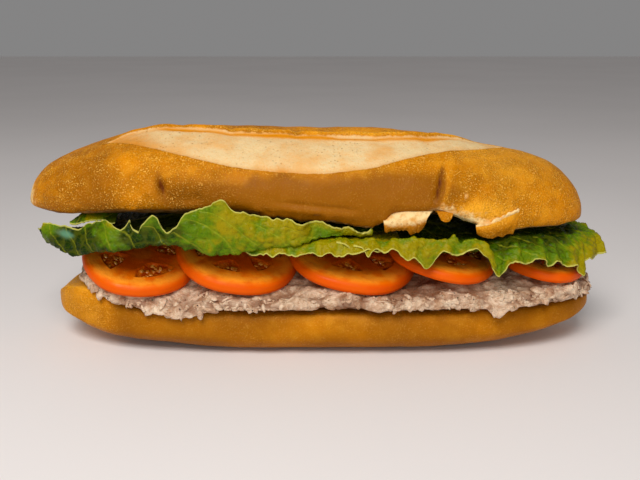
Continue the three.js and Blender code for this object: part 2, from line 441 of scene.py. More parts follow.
def scatter(
    name: str, shapes: Sequence[tuple[Array, Array]], spots: Array, frames: Array, sizes: Array, draw: Draw
) -> Piece:
    """Many copies of a few small shapes, joined into one mesh.

    Args:
        name: Name of the piece.
        shapes: Pairs of vertices and triangles to choose from.
        spots: Middle of each copy, in millimetres.
        frames: Rotation matrix of each copy.
        sizes: Length, width and thickness of each copy, in millimetres.
        draw: Source of the random choices.

    Returns:
        The joined piece.
    """
    vertices, faces, start = [], [], 0
    for spot, frame, size in zip(spots, frames, sizes):
        points, triangles = shapes[draw.integers(len(shapes))]
        vertices.append((points * size / 2) @ frame.T + spot)
        faces.append(triangles + start)
        start += len(points)
    mesh = bpy.data.meshes.new(name)
    mesh.from_pydata((np.concatenate(vertices) * MM).tolist(), [], np.concatenate(faces).tolist())
    piece = bpy.data.objects.new(name, mesh)
    bpy.context.scene.collection.objects.link(piece)
    smooth(piece)
    return piece


def pebble(seed: int, subdivisions: int, unevenness: float) -> tuple[Array, Array]:
    """Lumpy unit shape for scattering.

    Args:
        seed: Chooses the lumps.
        subdivisions: Fineness of the icosphere that it starts from.
        unevenness: Depth of the lumps, as a share of the radius.

    Returns:
        Its vertices and its triangles.
    """
    bpy.ops.object.select_all(action="DESELECT")
    bpy.ops.mesh.primitive_ico_sphere_add(subdivisions=subdivisions, radius=1.0)
    start = bpy.context.active_object
    points = places(start) * MM
    triangles = np.array([face.vertices[:] for face in start.data.polygons])
    bpy.data.objects.remove(start)
    return points * (1 + unevenness * rough(points, 0.9, seed, 2)[:, None]), triangles


def turned(towards: Array, draw: Draw, wobble: float) -> Array:
    """Random rotation whose last axis stays near a direction.

    Args:
        towards: Directions, one row each.
        draw: Source of the random turns.
        wobble: How far the axis strays, 0 for not at all.

    Returns:
        One rotation matrix for each direction.
    """
    up = towards + wobble * draw.normal(size=towards.shape)
    up /= np.linalg.norm(up, axis=1, keepdims=True)
    side = np.cross(up, draw.normal(size=up.shape))
    side /= np.linalg.norm(side, axis=1, keepdims=True)
    return np.stack([side, np.cross(up, side), up], axis=2)


# ------------------------------------------------------------------------------ materials


class Graph:
    """Node tree of one material, with short ways to add what the finishes share."""

    def __init__(self, name: str) -> None:
        """Starts a material with a principled shader.

        Args:
            name: Name of the material.
        """
        self.material = bpy.data.materials.new(name)
        self.material.use_nodes = True
        self.tree = self.material.node_tree
        self.tree.nodes.clear()
        self.shader = self.add("ShaderNodeBsdfPrincipled")
        output = self.add("ShaderNodeOutputMaterial")
        self.join(self.shader.outputs["BSDF"], output.inputs["Surface"])
        self.place = self.add("ShaderNodeTexCoord").outputs["Object"]

    def add(self, kind: str, **settings: object) -> bpy.types.Node:
        """New node of a kind, with its properties set.

        Args:
            kind: The node's type.
            settings: The node's properties.

        Returns:
            The node.
        """
        node = self.tree.nodes.new(kind)
        for key, value in settings.items():
            setattr(node, key, value)
        return node

    def join(self, source: object, target: Socket) -> None:
        """Feeds a socket from another socket, or gives it a plain value.

        Args:
            source: Socket or value.
            target: The socket that takes it.
        """
        if isinstance(source, bpy.types.NodeSocket):
            self.tree.links.new(source, target)
        else:
            target.default_value = source

    def attribute(self, name: str) -> Socket:
        """Number that the mesh stores for each vertex."""
        return self.add("ShaderNodeAttribute", attribute_name=name).outputs["Fac"]

    def stretched(self, x: float, y: float, z: float) -> Socket:
        """Object coordinates with each axis scaled.

        Args:
            x: Scale along X.
            y: Scale along Y.
            z: Scale along Z.

        Returns:
            The scaled coordinates.
        """
        mapping = self.add("ShaderNodeMapping")
        self.join(self.place, mapping.inputs["Vector"])
        mapping.inputs["Scale"].default_value = (x, y, z)
        return mapping.outputs["Vector"]

    def clouds(
        self,
        cell: float,
        detail: float = 3,
        roughness: float = 0.55,
        bend: float = 0,
        vector: Optional[Socket] = None,
    ) -> Socket:
        """Noise from 0 to 1.

        Args:
            cell: Size of its lumps, in millimetres.
            detail: Number of finer layers.
            roughness: Strength of the finer layers.
            bend: How far the pattern is distorted.
            vector: Coordinates, or none for the object's own.

        Returns:
            The noise's socket.
        """
        node = self.add("ShaderNodeTexNoise")
        self.join(vector or self.place, node.inputs["Vector"])
        settings = {"Scale": 1 / (cell * MM), "Detail": detail, "Roughness": roughness, "Distortion": bend}
        for key, value in settings.items():
            node.inputs[key].default_value = value
        return node.outputs["Fac"]

    def cells(self, cell: float, feature: str = "F1") -> Socket:
        """Distance in a pattern of irregular cells.

        Args:
            cell: Size of the cells, in millimetres.
            feature: Which distance is measured.

        Returns:
            The distance's socket.
        """
        node = self.add("ShaderNodeTexVoronoi", feature=feature)
        self.join(self.place, node.inputs["Vector"])
        node.inputs["Scale"].default_value = 1 / (cell * MM)
        return node.outputs["Distance"]

    def math(self, operation: str, first: object, second: object) -> Socket:
        """Result of a sum on two numbers.

        Args:
            operation: The sum's name.
            first: Socket or number.
            second: Socket or number.

        Returns:
            The result's socket.
        """
        node = self.add("ShaderNodeMath", operation=operation)
        self.join(first, node.inputs[0])
        self.join(second, node.inputs[1])
        return node.outputs[0]

    def plus(self, first: object, second: object) -> Socket:
        """Sum of two numbers."""
        return self.math("ADD", first, second)

    def minus(self, first: object, second: object) -> Socket:
        """Difference of two numbers."""
        return self.math("SUBTRACT", first, second)

    def times(self, first: object, second: object) -> Socket:
        """Product of two numbers."""
        return self.math("MULTIPLY", first, second)

    def span(self, value: Socket, low: float, high: float, start: float = 0, end: float = 1) -> Socket:
        """Eased share of a value between two limits, from start to end.

        Args:
            value: What is measured.
            low: Value where the result is start.
            high: Value where the result is end.
            start: Result at low.
            end: Result at high.

        Returns:
            The share's socket.
        """
        node = self.add("ShaderNodeMapRange", interpolation_type="SMOOTHSTEP")
        self.join(value, node.inputs["Value"])
        for key, number in (("From Min", low), ("From Max", high), ("To Min", start), ("To Max", end)):
            node.inputs[key].default_value = number
        return node.outputs["Result"]

    def blend(self, share: object, first: object, second: object) -> Socket:
        """Colour between two colours, each a socket or a display colour.

        Args:
            share: Share of the second colour, as a socket or a number.
            first: First colour.
            second: Second colour.

        Returns:
            The colour's socket.
        """
        node = self.add("ShaderNodeMix", data_type="RGBA", blend_type="MIX")
        self.join(share, node.inputs[0])
        for source, target in ((first, node.inputs[6]), (second, node.inputs[7])):
            self.join(colour(*source) if isinstance(source, tuple) and len(source) == 3 else source, target)
        return node.outputs[2]

    def finish(self, base: Socket, roughness: object, **values: float) -> Material:
        """Feeds the shader's colour and roughness, and sets its constants.

        Args:
            base: Colour.
            roughness: Roughness.
            values: Constants of the shader, named with underscores for spaces.

        Returns:
            The finished material.
        """
        self.join(base, self.shader.inputs["Base Color"])
        self.join(roughness, self.shader.inputs["Roughness"])
        for key, value in values.items():
            self.shader.inputs[key.replace("_", " ")].default_value = value
        return self.material

    def relief(self, height: Socket, depth: float) -> None:
        """Bump on the shader's normal.

        Args:
            height: Height from 0 to 1.
            depth: What a height of 1 stands for, in millimetres.
        """
        node = self.add("ShaderNodeBump")
        self.join(height, node.inputs["Height"])
        node.inputs["Distance"].default_value = depth * MM
        node.inputs["Strength"].default_value = 1.0
        self.join(node.outputs["Normal"], self.shader.inputs["Normal"])

    def glow(self, red: float, green: float, blue: float) -> None:
        """Sets how far light of each colour strays under the surface."""
        self.shader.inputs["Subsurface Radius"].default_value = (red, green, blue)


@dataclass(frozen=True)
class CrustFinish:
    """Golden baked crust, pale where the slash opened it, with airy crumb where it is cut or torn."""

    golden: Tint = (208, 128, 0)
    deep: Tint = (134, 77, 0)
    light: Tint = (244, 170, 40)
    blister: Tint = (246, 186, 88)
    # Darkest crust, used where toast passes 1. That is painted shadow in the dimple, in the crease and on
    # the cut face, and the most browned crust.
    burnt: Tint = (92, 38, 0)
    slash: Tint = (224, 194, 142)
    slash_toasted: Tint = (220, 158, 80)
    crumb: Tint = (240, 210, 150)
    crumb_shade: Tint = (196, 132, 44)
    grain_size: float = 0.75
    pore_size: float = 2.0

    def material(self, name: str) -> Material:
        """Builds the finish.

        Args:
            name: Name of the material.

        Returns:
            A material that reads the vertex numbers slash, crumb, toast and grain, where toast holds
            browning together with painted shade and painted highlights.
        """
        g = Graph(name)
        edge = g.plus(g.attribute("slash"), g.times(g.minus(g.clouds(2.4), 0.5), 1.6))
        in_slash = g.span(edge, -0.35, 0.45)
        broken = g.plus(g.attribute("crumb"), g.times(g.minus(g.clouds(2.6, 4), 0.5), 1.0))
        in_crumb = g.span(broken, 0.3, 0.75)
        toast, grain = g.attribute("toast"), g.attribute("grain")

        speckle, patch, crust = self.baked(g, toast, grain)
        pore, pale = self.opened(g, edge, toast)
        hole, soft = self.torn(g, toast)
        base = g.blend(in_crumb, g.blend(in_slash, crust, pale), soft)

        blister = g.times(g.span(speckle, 0.42, 0.66), patch)
        crust_height = g.plus(g.times(blister, 0.75), g.times(g.clouds(0.6, 3, 0.6), 0.25))
        slash_height = g.minus(g.times(g.clouds(1.3, 4, 0.7), 0.9), g.times(pore, 0.5))
        crumb_height = g.minus(g.clouds(1.8, 4, 0.7), g.times(hole, 0.6))
        g.relief(g.blend(in_crumb, g.blend(in_slash, crust_height, slash_height), crumb_height), 0.5)

        gloss = g.span(g.clouds(4, 3), 0.3, 0.7, 0.36, 0.52)
        matt = g.times(g.math("MAXIMUM", in_slash, in_crumb), 0.3)
        roughness = g.plus(gloss, matt)
        return g.finish(
            base, roughness, Subsurface_Weight=0.03, Subsurface_Scale=0.0015, Specular_IOR_Level=0.07
        )

    def baked(self, g: Graph, toast: Socket, grain: Socket) -> tuple[Socket, Socket, Socket]:
        """Whole crust.

        Args:
            g: The material's nodes.
            toast: Browning together with painted shade. It is under 0 where the crust is lighter, in places
                as a painted highlight, and over 1 where the crust is browned most or lies in painted
                shadow.
            grain: Share of the crust's grain that shows.

        Returns:
            The grain's speckle, how strong it is, and the crust's colour.
        """
        crust = g.blend(g.span(g.clouds(26, 4), 0.36, 0.66, 0, 0.5), self.golden, self.deep)
        crust = g.blend(g.span(g.clouds(6, 4, 0.6), 0.4, 0.7, 0, 0.3), crust, self.light)
        # Darker with browning and painted shade, and lighter where the value is under 0, in places as a
        # painted highlight.
        crust = g.blend(g.span(toast, 0, 1, 0, 0.9), crust, self.deep)
        crust = g.blend(g.span(toast, 0, -1, 0, 0.8), crust, self.light)
        speckle = g.clouds(self.grain_size, 1, 0.5)
        patch = g.times(grain, g.span(g.clouds(9, 3), 0.36, 0.6, 0.35, 1.0))
        crust = g.blend(g.times(g.span(speckle, 0.46, 0.3, 0, 0.6), patch), crust, self.deep)
        crust = g.blend(g.times(g.span(speckle, 0.52, 0.74, 0, 0.6), patch), crust, self.blister)
        return speckle, patch, g.blend(g.span(toast, 1, 2), crust, self.burnt)

    def opened(self, g: Graph, edge: Socket, toast: Socket) -> tuple[Socket, Socket]:
        """Pores and colour of the skin inside the slash.

        Args:
            g: The material's nodes.
            edge: Distance inside the slash.
            toast: Browning together with painted shade.

        Returns:
            The pores and the colour.
        """
        pore = g.times(g.span(g.cells(self.pore_size), 0.24, 0.1), g.span(g.clouds(14, 3), 0.44, 0.62))
        pale = g.blend(g.span(g.clouds(16, 4), 0.42, 0.74, 0, 0.8), self.slash, self.slash_toasted)
        pale = g.blend(g.span(g.clouds(1.2, 4, 0.7), 0.48, 0.72, 0, 0.55), pale, self.slash_toasted)
        # Pores darkened towards deep: painted shade in the pores.
        pale = g.blend(g.times(pore, 0.45), pale, self.deep)
        pale = g.blend(g.span(edge, 4.5, 0.3, 0, 0.3), pale, self.slash_toasted)
        return pore, g.blend(g.span(toast, 0, 1), pale, self.golden)

    def torn(self, g: Graph, toast: Socket) -> tuple[Socket, Socket]:
        """Holes and colour of the crumb.

        Args:
            g: The material's nodes.
            toast: Browning together with painted shade.

        Returns:
            The holes and the colour.
        """
        hole = g.span(g.cells(2.0, "SMOOTH_F1"), 0.34, 0.12)
        soft = g.blend(g.span(g.clouds(4, 4), 0.4, 0.7), self.crumb, self.slash_toasted)
        # The crumb's holes darken towards crumb_shade: painted shade in the holes.
        soft = g.blend(g.times(hole, 0.35), soft, self.crumb_shade)
        # The crumb darkens with toast, which on the cut face that faces down is painted shade.
        return hole, g.blend(g.span(toast, 0.1, 1, 0, 0.85), soft, self.deep)


@dataclass(frozen=True)
class SaladFinish:
    """Moist shredded salad bound with mayonnaise."""

    creamy: Tint = (232, 204, 174)
    meaty: Tint = (188, 146, 112)
    browned: Tint = (120, 72, 40)

    def material(self, name: str) -> Material:
        """Builds the finish.

        Args:
            name: Name of the material.

        Returns:
            A material that reads the vertex number hollow, which darkens the crevices as painted shade and
            adds random darker patches.
        """
        g = Graph(name)
        flakes = g.span(g.clouds(4.5, 4, 0.65, 0.6), 0.38, 0.66)
        strands = g.stretched(*STRANDS)
        fibres = g.span(g.clouds(0.9, 4, 0.7, 1.2, strands), 0.46, 0.72)
        base = g.blend(flakes, self.creamy, self.meaty)
        base = g.blend(g.times(fibres, 0.45), base, self.browned)
        # Towards browned: painted shade in the crevices, and random darker patches.
        base = g.blend(g.span(g.attribute("hollow"), 0, 1, 0, 0.8), base, self.browned)
        coarse = g.clouds(2.2, 3, 0.55, 0.8)
        g.relief(g.plus(coarse, g.times(g.clouds(1.0, 3, 0.6, 1.2, strands), 0.5)), 0.8)
        roughness = g.span(g.clouds(2, 3), 0.3, 0.7, 0.3, 0.52)
        g.glow(1.0, 0.6, 0.4)
        return g.finish(
            base, roughness, Subsurface_Weight=0.15, Subsurface_Scale=0.0012, Specular_IOR_Level=0.3
        )


@dataclass(frozen=True)
class TomatoFinish:
    """Wet tomato: taut skin, streaked flesh and glossy jelly in the seed pockets."""

    skin: Tint = (222, 88, 0)
    flesh: Tint = (242, 114, 0)
    pale_flesh: Tint = (248, 144, 32)
    deep_flesh: Tint = (216, 66, 0)
    # Painted shade towards the slice's middle, under the lettuce.
    heart: Tint = (186, 44, 0)
    jelly: Tint = (172, 56, 0)
    jelly_light: Tint = (226, 112, 14)
    jelly_roughness: float = 0.1

    def material(self, name: str) -> Material:
        """Builds the finish.

        Args:
            name: Name of the material.

        Returns:
            A material that reads the vertex numbers skin, pocket, streak and heart, the last a painted
            shade towards the slice's middle.
        """
        g = Graph(name)
        skin, pocket, streak = (g.attribute(key) for key in ("skin", "pocket", "streak"))
        soft = g.plus(streak, g.minus(g.clouds(2.4, 4, 0.65), 0.5))
        flesh = g.blend(g.span(soft, 0.0, 0.95), self.flesh, self.pale_flesh)
        flesh = g.blend(g.span(g.clouds(8, 3), 0.48, 0.72, 0, 0.5), flesh, self.deep_flesh)
        jelly = g.blend(g.span(g.clouds(3.0, 3), 0.4, 0.66), self.jelly, self.jelly_light)
        flesh = g.blend(g.span(g.attribute("heart"), 0, 1, 0, 0.6), flesh, self.heart)
        base = g.blend(g.span(pocket, 0.1, 0.95), flesh, jelly)
        peel = g.blend(g.span(g.clouds(14, 3), 0.4, 0.7, 0, 0.35), self.skin, self.deep_flesh)
        base = g.blend(g.span(skin, 0, 1), base, peel)
        flesh_height = g.plus(g.clouds(0.8, 3, 0.6), g.clouds(2.2, 2, 0.5))
        height = g.blend(g.span(skin, 0.3, 0.7), flesh_height, g.clouds(6, 1))
        g.relief(g.plus(height, g.times(g.clouds(1.6, 2), g.times(pocket, 2.5))), 0.24)
        wet = g.span(g.clouds(6, 3), 0.35, 0.65, 0.28, 0.5)
        roughness = g.blend(pocket, wet, (self.jelly_roughness,) * 3 + (1,))
        g.glow(1.0, 0.4, 0.05)
        return g.finish(
            base, roughness, Subsurface_Weight=0.06, Subsurface_Scale=0.002, Specular_IOR_Level=0.08
        )


@dataclass(frozen=True)
class LeafFinish:
    """Waxy lettuce: green blade, paler veins and rim."""

    dark: Tint = (22, 42, 0)
    green: Tint = (80, 112, 0)
    yellow: Tint = (144, 128, 0)
    vein: Tint = (160, 160, 30)
    rim: Tint = (196, 190, 96)
    waxy: Tint = (92, 140, 112)

    def material(self, name: str) -> Material:
        """Builds the finish.

        Args:
            name: Name of the material.

        Returns:
            A material that reads the vertex numbers vein, web, rim, tone and bloom. tone holds the blade's
            tone with painted shade and light, and bloom holds a painted bluish highlight.
        """
        g = Graph(name)
        vein, web, rim, tone, bloom = (g.attribute(key) for key in ("vein", "web", "rim", "tone", "bloom"))
        mottle = g.times(g.minus(g.clouds(10, 5, 0.6, 0.6, g.stretched(0.5, 1, 1)), 0.5), 2.0)
        shade = g.plus(tone, mottle)
        # From dark through green to yellow by tone, whose low end is mostly painted shade.
        base = g.blend(g.span(shade, -0.15, 0.45), self.dark, self.green)
        base = g.blend(g.span(shade, 0.35, 1.05), base, self.yellow)
        net = g.times(g.span(g.cells(2.4, "DISTANCE_TO_EDGE"), 0.1, 0.0), 0.08)
        lines = g.math("MAXIMUM", g.times(vein, 0.45), g.times(g.span(web, 0.45, 1.1), 0.12))
        base = g.blend(g.math("MAXIMUM", lines, net), base, self.vein)
        base = g.blend(g.times(g.span(g.clouds(1.3, 3, 0.6), 0.52, 0.75), 0.35), base, self.dark)
        base = g.blend(g.span(rim, 0.5, 1.0, 0, 0.75), base, self.rim)
        # Painted bluish highlight.
        base = g.blend(g.span(bloom, 0.15, 0.9, 0, 0.75), base, self.waxy)
        quilt = g.span(g.cells(2.4, "SMOOTH_F1"), 0.6, 0.1)
        g.relief(g.plus(g.times(quilt, 0.6), g.times(g.clouds(0.9, 3), 0.4)), 0.45)
        roughness = g.span(g.clouds(5, 3), 0.3, 0.7, 0.28, 0.48)
        g.glow(0.6, 1.0, 0.1)
        return g.finish(
            base, roughness, Subsurface_Weight=0.08, Subsurface_Scale=0.0012, Specular_IOR_Level=0.09
        )


@dataclass(frozen=True)
class PlainFinish:
    """One colour with a little variation, for small bits."""

    main: Tint
    other: Tint
    roughness: float = 0.4
    coat: float = 0.0

    def material(self, name: str) -> Material:
        """Builds the finish.

        Args:
            name: Name of the material.

        Returns:
            The material.
        """
        g = Graph(name)
        base = g.blend(g.span(g.clouds(2, 3), 0.35, 0.65), self.main, self.other)
        roughness = g.span(g.clouds(1.2, 2), 0.3, 0.7, self.roughness - 0.08, self.roughness + 0.1)
        g.relief(g.clouds(0.6, 2), 0.12)
        return g.finish(
            base, roughness, Coat_Weight=self.coat, Subsurface_Weight=0.1, Subsurface_Scale=0.001
        )


# ------------------------------------------------------------------------------ the roll


def marks(rows: Knots, along: Array, height: Array) -> Array:
    """Sum of soft spots on the front of the roll.

    Args:
        rows: For each spot its amount, its place and width along the roll, its height and width in
            height, and how far it leans along the roll for each millimetre of height.
        along: Distance along the roll from its middle.
        height: Height above the base.

    Returns:
        The sum at each point.
    """
    total = np.zeros_like(along)
    for amount, middle, width, level, spread, lean in rows:
        total += amount * bump(along, middle + lean * (height - level), width) * bump(height, level, spread)
    return total


@dataclass
class UpperRoll:
    """Slashed upper half of the roll, with its torn front edge."""

    node: str = "roll_upper_half"
    levels: int = 3
    arc: float = 34.0  # crust covered by one radian of the section
    top: float = 84.0  # height over which the slash is looked for
    band: float = 79.0  # height under which the front edge is torn
    fold: float = 64.5  # place of the crease at the right, where it is 86 mm high
    slash_front: Knots = (
        (-101, 8.5), (-91, 14), (-77, 21.5), (-64, 27), (-51, 31), (-39, 33.5), (-27, 35), (-8, 36.2),
        (11, 36), (23, 34.7), (35, 32.5), (45, 28.5), (63, 20.8), (76, 15), (89, 8), (106, -4),
    )
    slash_back: Knots = (
        (-101, 8.5), (-92, 3), (-78, 0.5), (-60, 3), (-44, 6.5), (-26, 8.5), (-3, 10), (21, 11),
        (46, 9.5), (61, 6), (72, 1), (88, -4), (106, -5),
    )
    slash_depth: float = 0.7
    lip_height: float = 1.7
    lip_width: float = 3.2
    notches: Sequence[float] = (-38, -5)
    front_edge: Knots = (
        (-140, 70), (-118, 70), (-103, 71.2), (-88, 73), (-63, 73), (-36, 74.3), (-19, 73), (-11, 68.3),
        (0, 67.8), (20, 66.6), (34, 65), (42, 63.2), (52, 64), (70, 63.6), (90, 62), (120, 63),
    )
    torn_lift: Knots = (
        (-140, 0), (20, 0), (30, 0), (34, 0.4), (38, 2.5), (41, 7.6), (45, 9), (52, 9), (57, 8.8),
        (61, 9.2), (66, 8), (71, 6), (78, 4.4), (84, 3), (92, 1.6), (98, 0), (104, 0), (140, 0),
    )
    dents: Knots = (
        (-2.0, 63.85, 1.2, 85, 9, 0.25), (-3.0, -68.2, 1.7, 86, 4.5, -0.3), (-2.0, -55, 11, 80, 4, 0),
        (1.2, -74, 4, 85, 7, 0), (0.9, -52, 12, 89, 4, 0), (-0.5, -24, 3, 86, 7, 0),
        (-0.5, -11, 3, 85, 8, 0), (0.8, -89.7, 1.6, 88.7, 1.6, 0),
    )
    # Marks added to the browning, all painted light. They give painted shadows of the pinches at -24 and
    # -11, painted shade in the dimple at -68 and in the hollow at -55, and a dark crease at 64. The
    # negative marks are painted highlights, right of the crease and as sheen on the upper crust.
    browned: Knots = (
        (0.4, -24, 3.2, 86, 9, 0), (0.4, -11, 3, 86, 9, 0), (-0.3, -30, 9, 90, 5, 0),
        (0.9, -68.2, 1.6, 86, 4.5, -0.3), (0.6, -55, 10, 80, 4.5, 0), (1.5, 63.85, 1.0, 85, 8, 0.25),
        (-0.8, 67.5, 1.2, 86, 8, 0.25), (-0.3, -85, 14, 97, 4, 0), (-0.3, -48, 14, 88, 6, 0),
    )
    # Painted shadow lines, the darkest, in the dimple and along the crease.
    burnt: Knots = ((1, -68.9, 1.3, 86, 4, -0.3), (1, 63.9, 0.9, 86, 8, 0.25))

    def sections(self, points: Array) -> tuple[Array, Array, Array]:
        """Where points lie on the half.

        Args:
            points: Vertex places.

        Returns:
            Distance along the roll from its middle, angle up from the front of its widest line, and
            the half width there.
        """
        low, high = node_box(self.node)
        middle, half = (low + high) / 2, (high - low) / 2
        along = points[:, 0] - middle[0]
        width = half[1] * np.sqrt(np.clip(1 - np.abs(along / half[0]) ** 3.4, 0.004, 1))
        angle = np.arccos(np.clip(-points[:, 1] / width, -1, 1))
        return along, angle, width

    def slash_depths(self, points: Array) -> tuple[Array, Array]:
        """Distances into the slash from its two edges.

        Args:
            points: Vertex places.

        Returns:
            Distance past the front edge and distance before the back edge, in millimetres.
        """
        along, angle, width = self.sections(points)
        front = np.arccos(np.clip(through(self.slash_front, along) / width, -1, 1))
        back = np.arccos(np.clip(through(self.slash_back, along) / width, -1, 1))
        outside = np.clip(np.abs(along + 1) - 102, 0, None) * 3
        return (angle - front) * self.arc - outside, (back - angle) * self.arc - outside

    def build(self, frame: dict, material: Material) -> Piece:
        """Builds and dresses the half.

        Args:
            frame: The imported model.
            material: The crust's finish.

        Returns:
            The finished piece.
        """
        piece = copy_node(frame["nodes"][self.node], "upper_roll")
        subdivide(piece, self.levels)
        points, out = places(piece), normals(piece)
        low, high = node_box(self.node)
        along = points[:, 0] - (low[0] + high[0]) / 2
        height = points[:, 2]  # a view, which follows what is done to the points below
        past_front, before_back = self.slash_depths(points)
        on_top = ease(height, self.top, 90)
        inside = np.minimum(past_front, before_back)
        lift = 0.55 * rough(points, 34, 3) + 0.3 * rough(points, 9, 7, 2)
        lift += on_top * self.slash_relief(points, inside)
        lift += self.lip(points, along, before_back, on_top)
        lift += on_top * 0.35 * bump(past_front, -0.8, 0.9) * ease(inside, -3, -0.5)
        lift += ease(-points[:, 1], 12, 26) * self.wrinkles(points, along, height)
        points += out * lift[:, None]
        points = self.torn(points, along, height)
        proud = np.array([0, 1.5, 0])
        points[:] = np.clip(points, low - proud, high + proud)
        move_to(piece, points)

        cut = ease(-normals(piece)[:, 2], 0.6, 0.85)
        middle = ease(-np.abs(along - 10), -72, -36) * ease(-height, -98, -88)
        brown = self.toast(points, along, height) + 0.3 * noise(points, 18, 55)
        brown = np.clip(brown + on_top * self.slash_toast(points, along, inside, before_back), -1, 1)
        # Painted shadow lines in the dimple and along the crease.
        brown += ease(-points[:, 1], 10, 24) * marks(self.burnt, along, height)
        # The cut face, which faces down, is darkened as painted shade, with some toasting.
        paint(
            piece,
            slash=np.where(height > self.top, inside, OUTSIDE),
            crumb=np.maximum(cut, self.crumb_share(points, along)),
            toast=brown + 1.2 * cut,
            grain=1 - 0.85 * middle,
        )
        smooth(piece)
        return finish_piece(piece, material, [self.node])

    def slash_relief(self, points: Array, inside: Array) -> Array:
        """Depth of the slash and the roughness of its floor."""
        rugged = 0.25 * rough(points, 3.0, 11, 2) * ease(inside, 0, 2)
        return rugged - self.slash_depth * ease(inside, -0.5, 1.5)

    def lip(self, points: Array, along: Array, before_back: Array, on_top: Array) -> Array:
        """Raised lip along the back of the slash, and the fainter one before it.

        Args:
            points: Vertex places.
            along: Distance along the roll from its middle.
            before_back: Distance before the slash's back edge.
            on_top: Share that lies on the top of the roll.

        Returns:
            How far the crust is raised, in millimetres.
        """
        share = on_top * ease(-np.abs(along + 5), -96, -70)
        for notch in self.notches:
            share = share * (1 - 0.9 * bump(along, notch, 1.6))
        ridge = bump(before_back, -self.lip_width / 2, self.lip_width / 2)
        second = bump(before_back, 1.6 + 0.8 * noise(points, 12, 5), 0.8)
        raised = share * ridge * self.lip_height * (1 + 0.35 * noise(points, 7, 21))
        return raised + share * 0.5 * second * ease(-np.abs(along - 15), -60, -35)

    def wrinkles(self, points: Array, along: Array, height: Array) -> Array:
        """Dents, folds and blisters of the front crust.

        Args:
            points: Vertex places.
            along: Distance along the roll from its middle.
            height: Height above the base.

        Returns:
            How far the crust is raised, in millimetres.
        """
        past_fold = along - self.fold - (height - 86) * 0.25
        step = ease(past_fold, -0.4, 0.6) * np.exp(-np.clip(past_fold, 0, None) / 14)
        raised = 2.3 * step * bump(height, 85, 9) + marks(self.dents, along, height)
        groove = 77 - (along - 7) * 0.11
        centred = -np.abs(along - 7)
        raised -= 0.8 * bump(height, groove, 1.2) * ease(centred, -26, -10)
        raised += 0.6 * bump(height, groove - 3, 1.6) * ease(centred, -28, -10)
        raised += 0.9 * bump(along, 76.5, 3.0) * bump(height, 81 + 0.4 * (along - 76.5), 1.0)
        return raised + 0.35 * ease(noise(points, 5, 33), 0.35, 0.8)

    def torn(self, points: Array, along: Array, height: Array) -> Array:
        """Tears the front edge away where the flaps hang, and roughens it.

        Args:
            points: Vertex places.
            along: Distance along the roll from its middle.
            height: Height above the base.

        Returns:
            The new places.
        """
        edge, tear = through(self.front_edge, along), through(self.torn_lift, along)
        raised = edge + tear + (height - edge) * (self.band - edge - tear) / (self.band - edge)
        near_edge = ease(-points[:, 1], 17, 32) * (height < self.band)
        torn = ease(tear, 0.5, 3)
        share = np.maximum(near_edge, torn * ease(-points[:, 1], 0, 16) * (height < self.band))
        points[:, 2] += share * (raised - height)
        points[:, 1] -= 3.4 * torn * near_edge * ease(-height, -edge - 9, -edge - 0.5)
        low_edge = ease(-height, -edge - 8, -edge - 1) * ease(-points[:, 1], 22, 33)
        ragged = 0.25 + ease(along, -26, -18) * ease(-along, -104, -98)
        jagged = rough(points, 4.5, 41) * 1.1 + noise(points, 1.8, 44) * 0.5
        points[:, 2] += low_edge * ragged * jagged
        points[:, 1] += low_edge * ragged * np.abs(noise(points, 4, 47)) * 0.9
        return points

    def crumb_share(self, points: Array, along: Array) -> Array:
        """How much crumb shows where the front edge was torn.

        Args:
            points: Vertex places.
            along: Distance along the roll from its middle.

        Returns:
            0 where the crust is whole, up to 1 on bare crumb.
        """
        height = points[:, 2]
        under = through(self.front_edge, along) + through(self.torn_lift, along) - height
        rip = 0.55 * ease(under, -14, -3) + 0.45 * ease(under, -5, -1.5)
        rip *= ease(along, 54, 66) * ease(-along, -104, -90)
        scar = 0.62 * bump(along, 76, 2.2) * bump(height, 81.5, 2.0)
        nick = 0.8 * bump(along, -10, 7) * ease(under, -2.4, -0.6)
        lip = 0.5 * ease(along, 56, 66) * ease(-along, -92, -84) * ease(under, -3.4, -0.6)
        tip = 0.9 * bump(along, -144, 8) * bump(height, 77, 8)
        return np.clip(ease(-points[:, 1], 20, 28) * (rip + scar + nick + lip) + tip, 0, 1)

    def toast(self, points: Array, along: Array, height: Array) -> Array:
        """Browning of the sides of the crust together with painted shade and painted highlights: over 0 it
        is darker, and under 0 lighter.

        Args:
            points: Vertex places.
            along: Distance along the roll from its middle.
            height: Height above the base.

        Returns:
            The browning and painted shade of each vertex.
        """
        # Painted shade: darker low in the middle of the front, which turns down away from the light.
        brown = 1.35 * ease(-np.abs(along - 5), -95, -45) * ease(-height, -98, -82)
        brown += ease(-along, 66, 96) * (0.45 + 0.3 * ease(-height, -88, -72))
        brown -= 1.9 * bump(along, 80, 14) * ease(-height, -85, -72)
        brown += marks(self.browned, along, height)
        brown *= ease(-points[:, 1], 10, 24)
        brown -= 1.2 * bump(along, -144, 7) * bump(height, 76, 8)
        return brown - 0.5 * ease(along, 60, 85) * ease(height, 76, 90)

    def slash_toast(self, points: Array, along: Array, inside: Array, before_back: Array) -> Array:
        """Browning in and beside the slash.

        Args:
            points: Vertex places.
            along: Distance along the roll from its middle.
            inside: Distance inside the slash.
            before_back: Distance before the slash's back edge.

        Returns:
            The browning of each vertex.
        """
        line = bump(before_back, 1.4 + 0.6 * noise(points, 12, 5), 1.2) * ease(-np.abs(along - 5), -90, -70)
        left_end = 0.7 * ease(inside, -0.5, 1) * ease(-along, 66, 98)
        lip = 0.7 * bump(before_back, -2.2, 1.8) * ease(along, -60, -25) * ease(-along, -100, -65)
        return line + left_end - lip


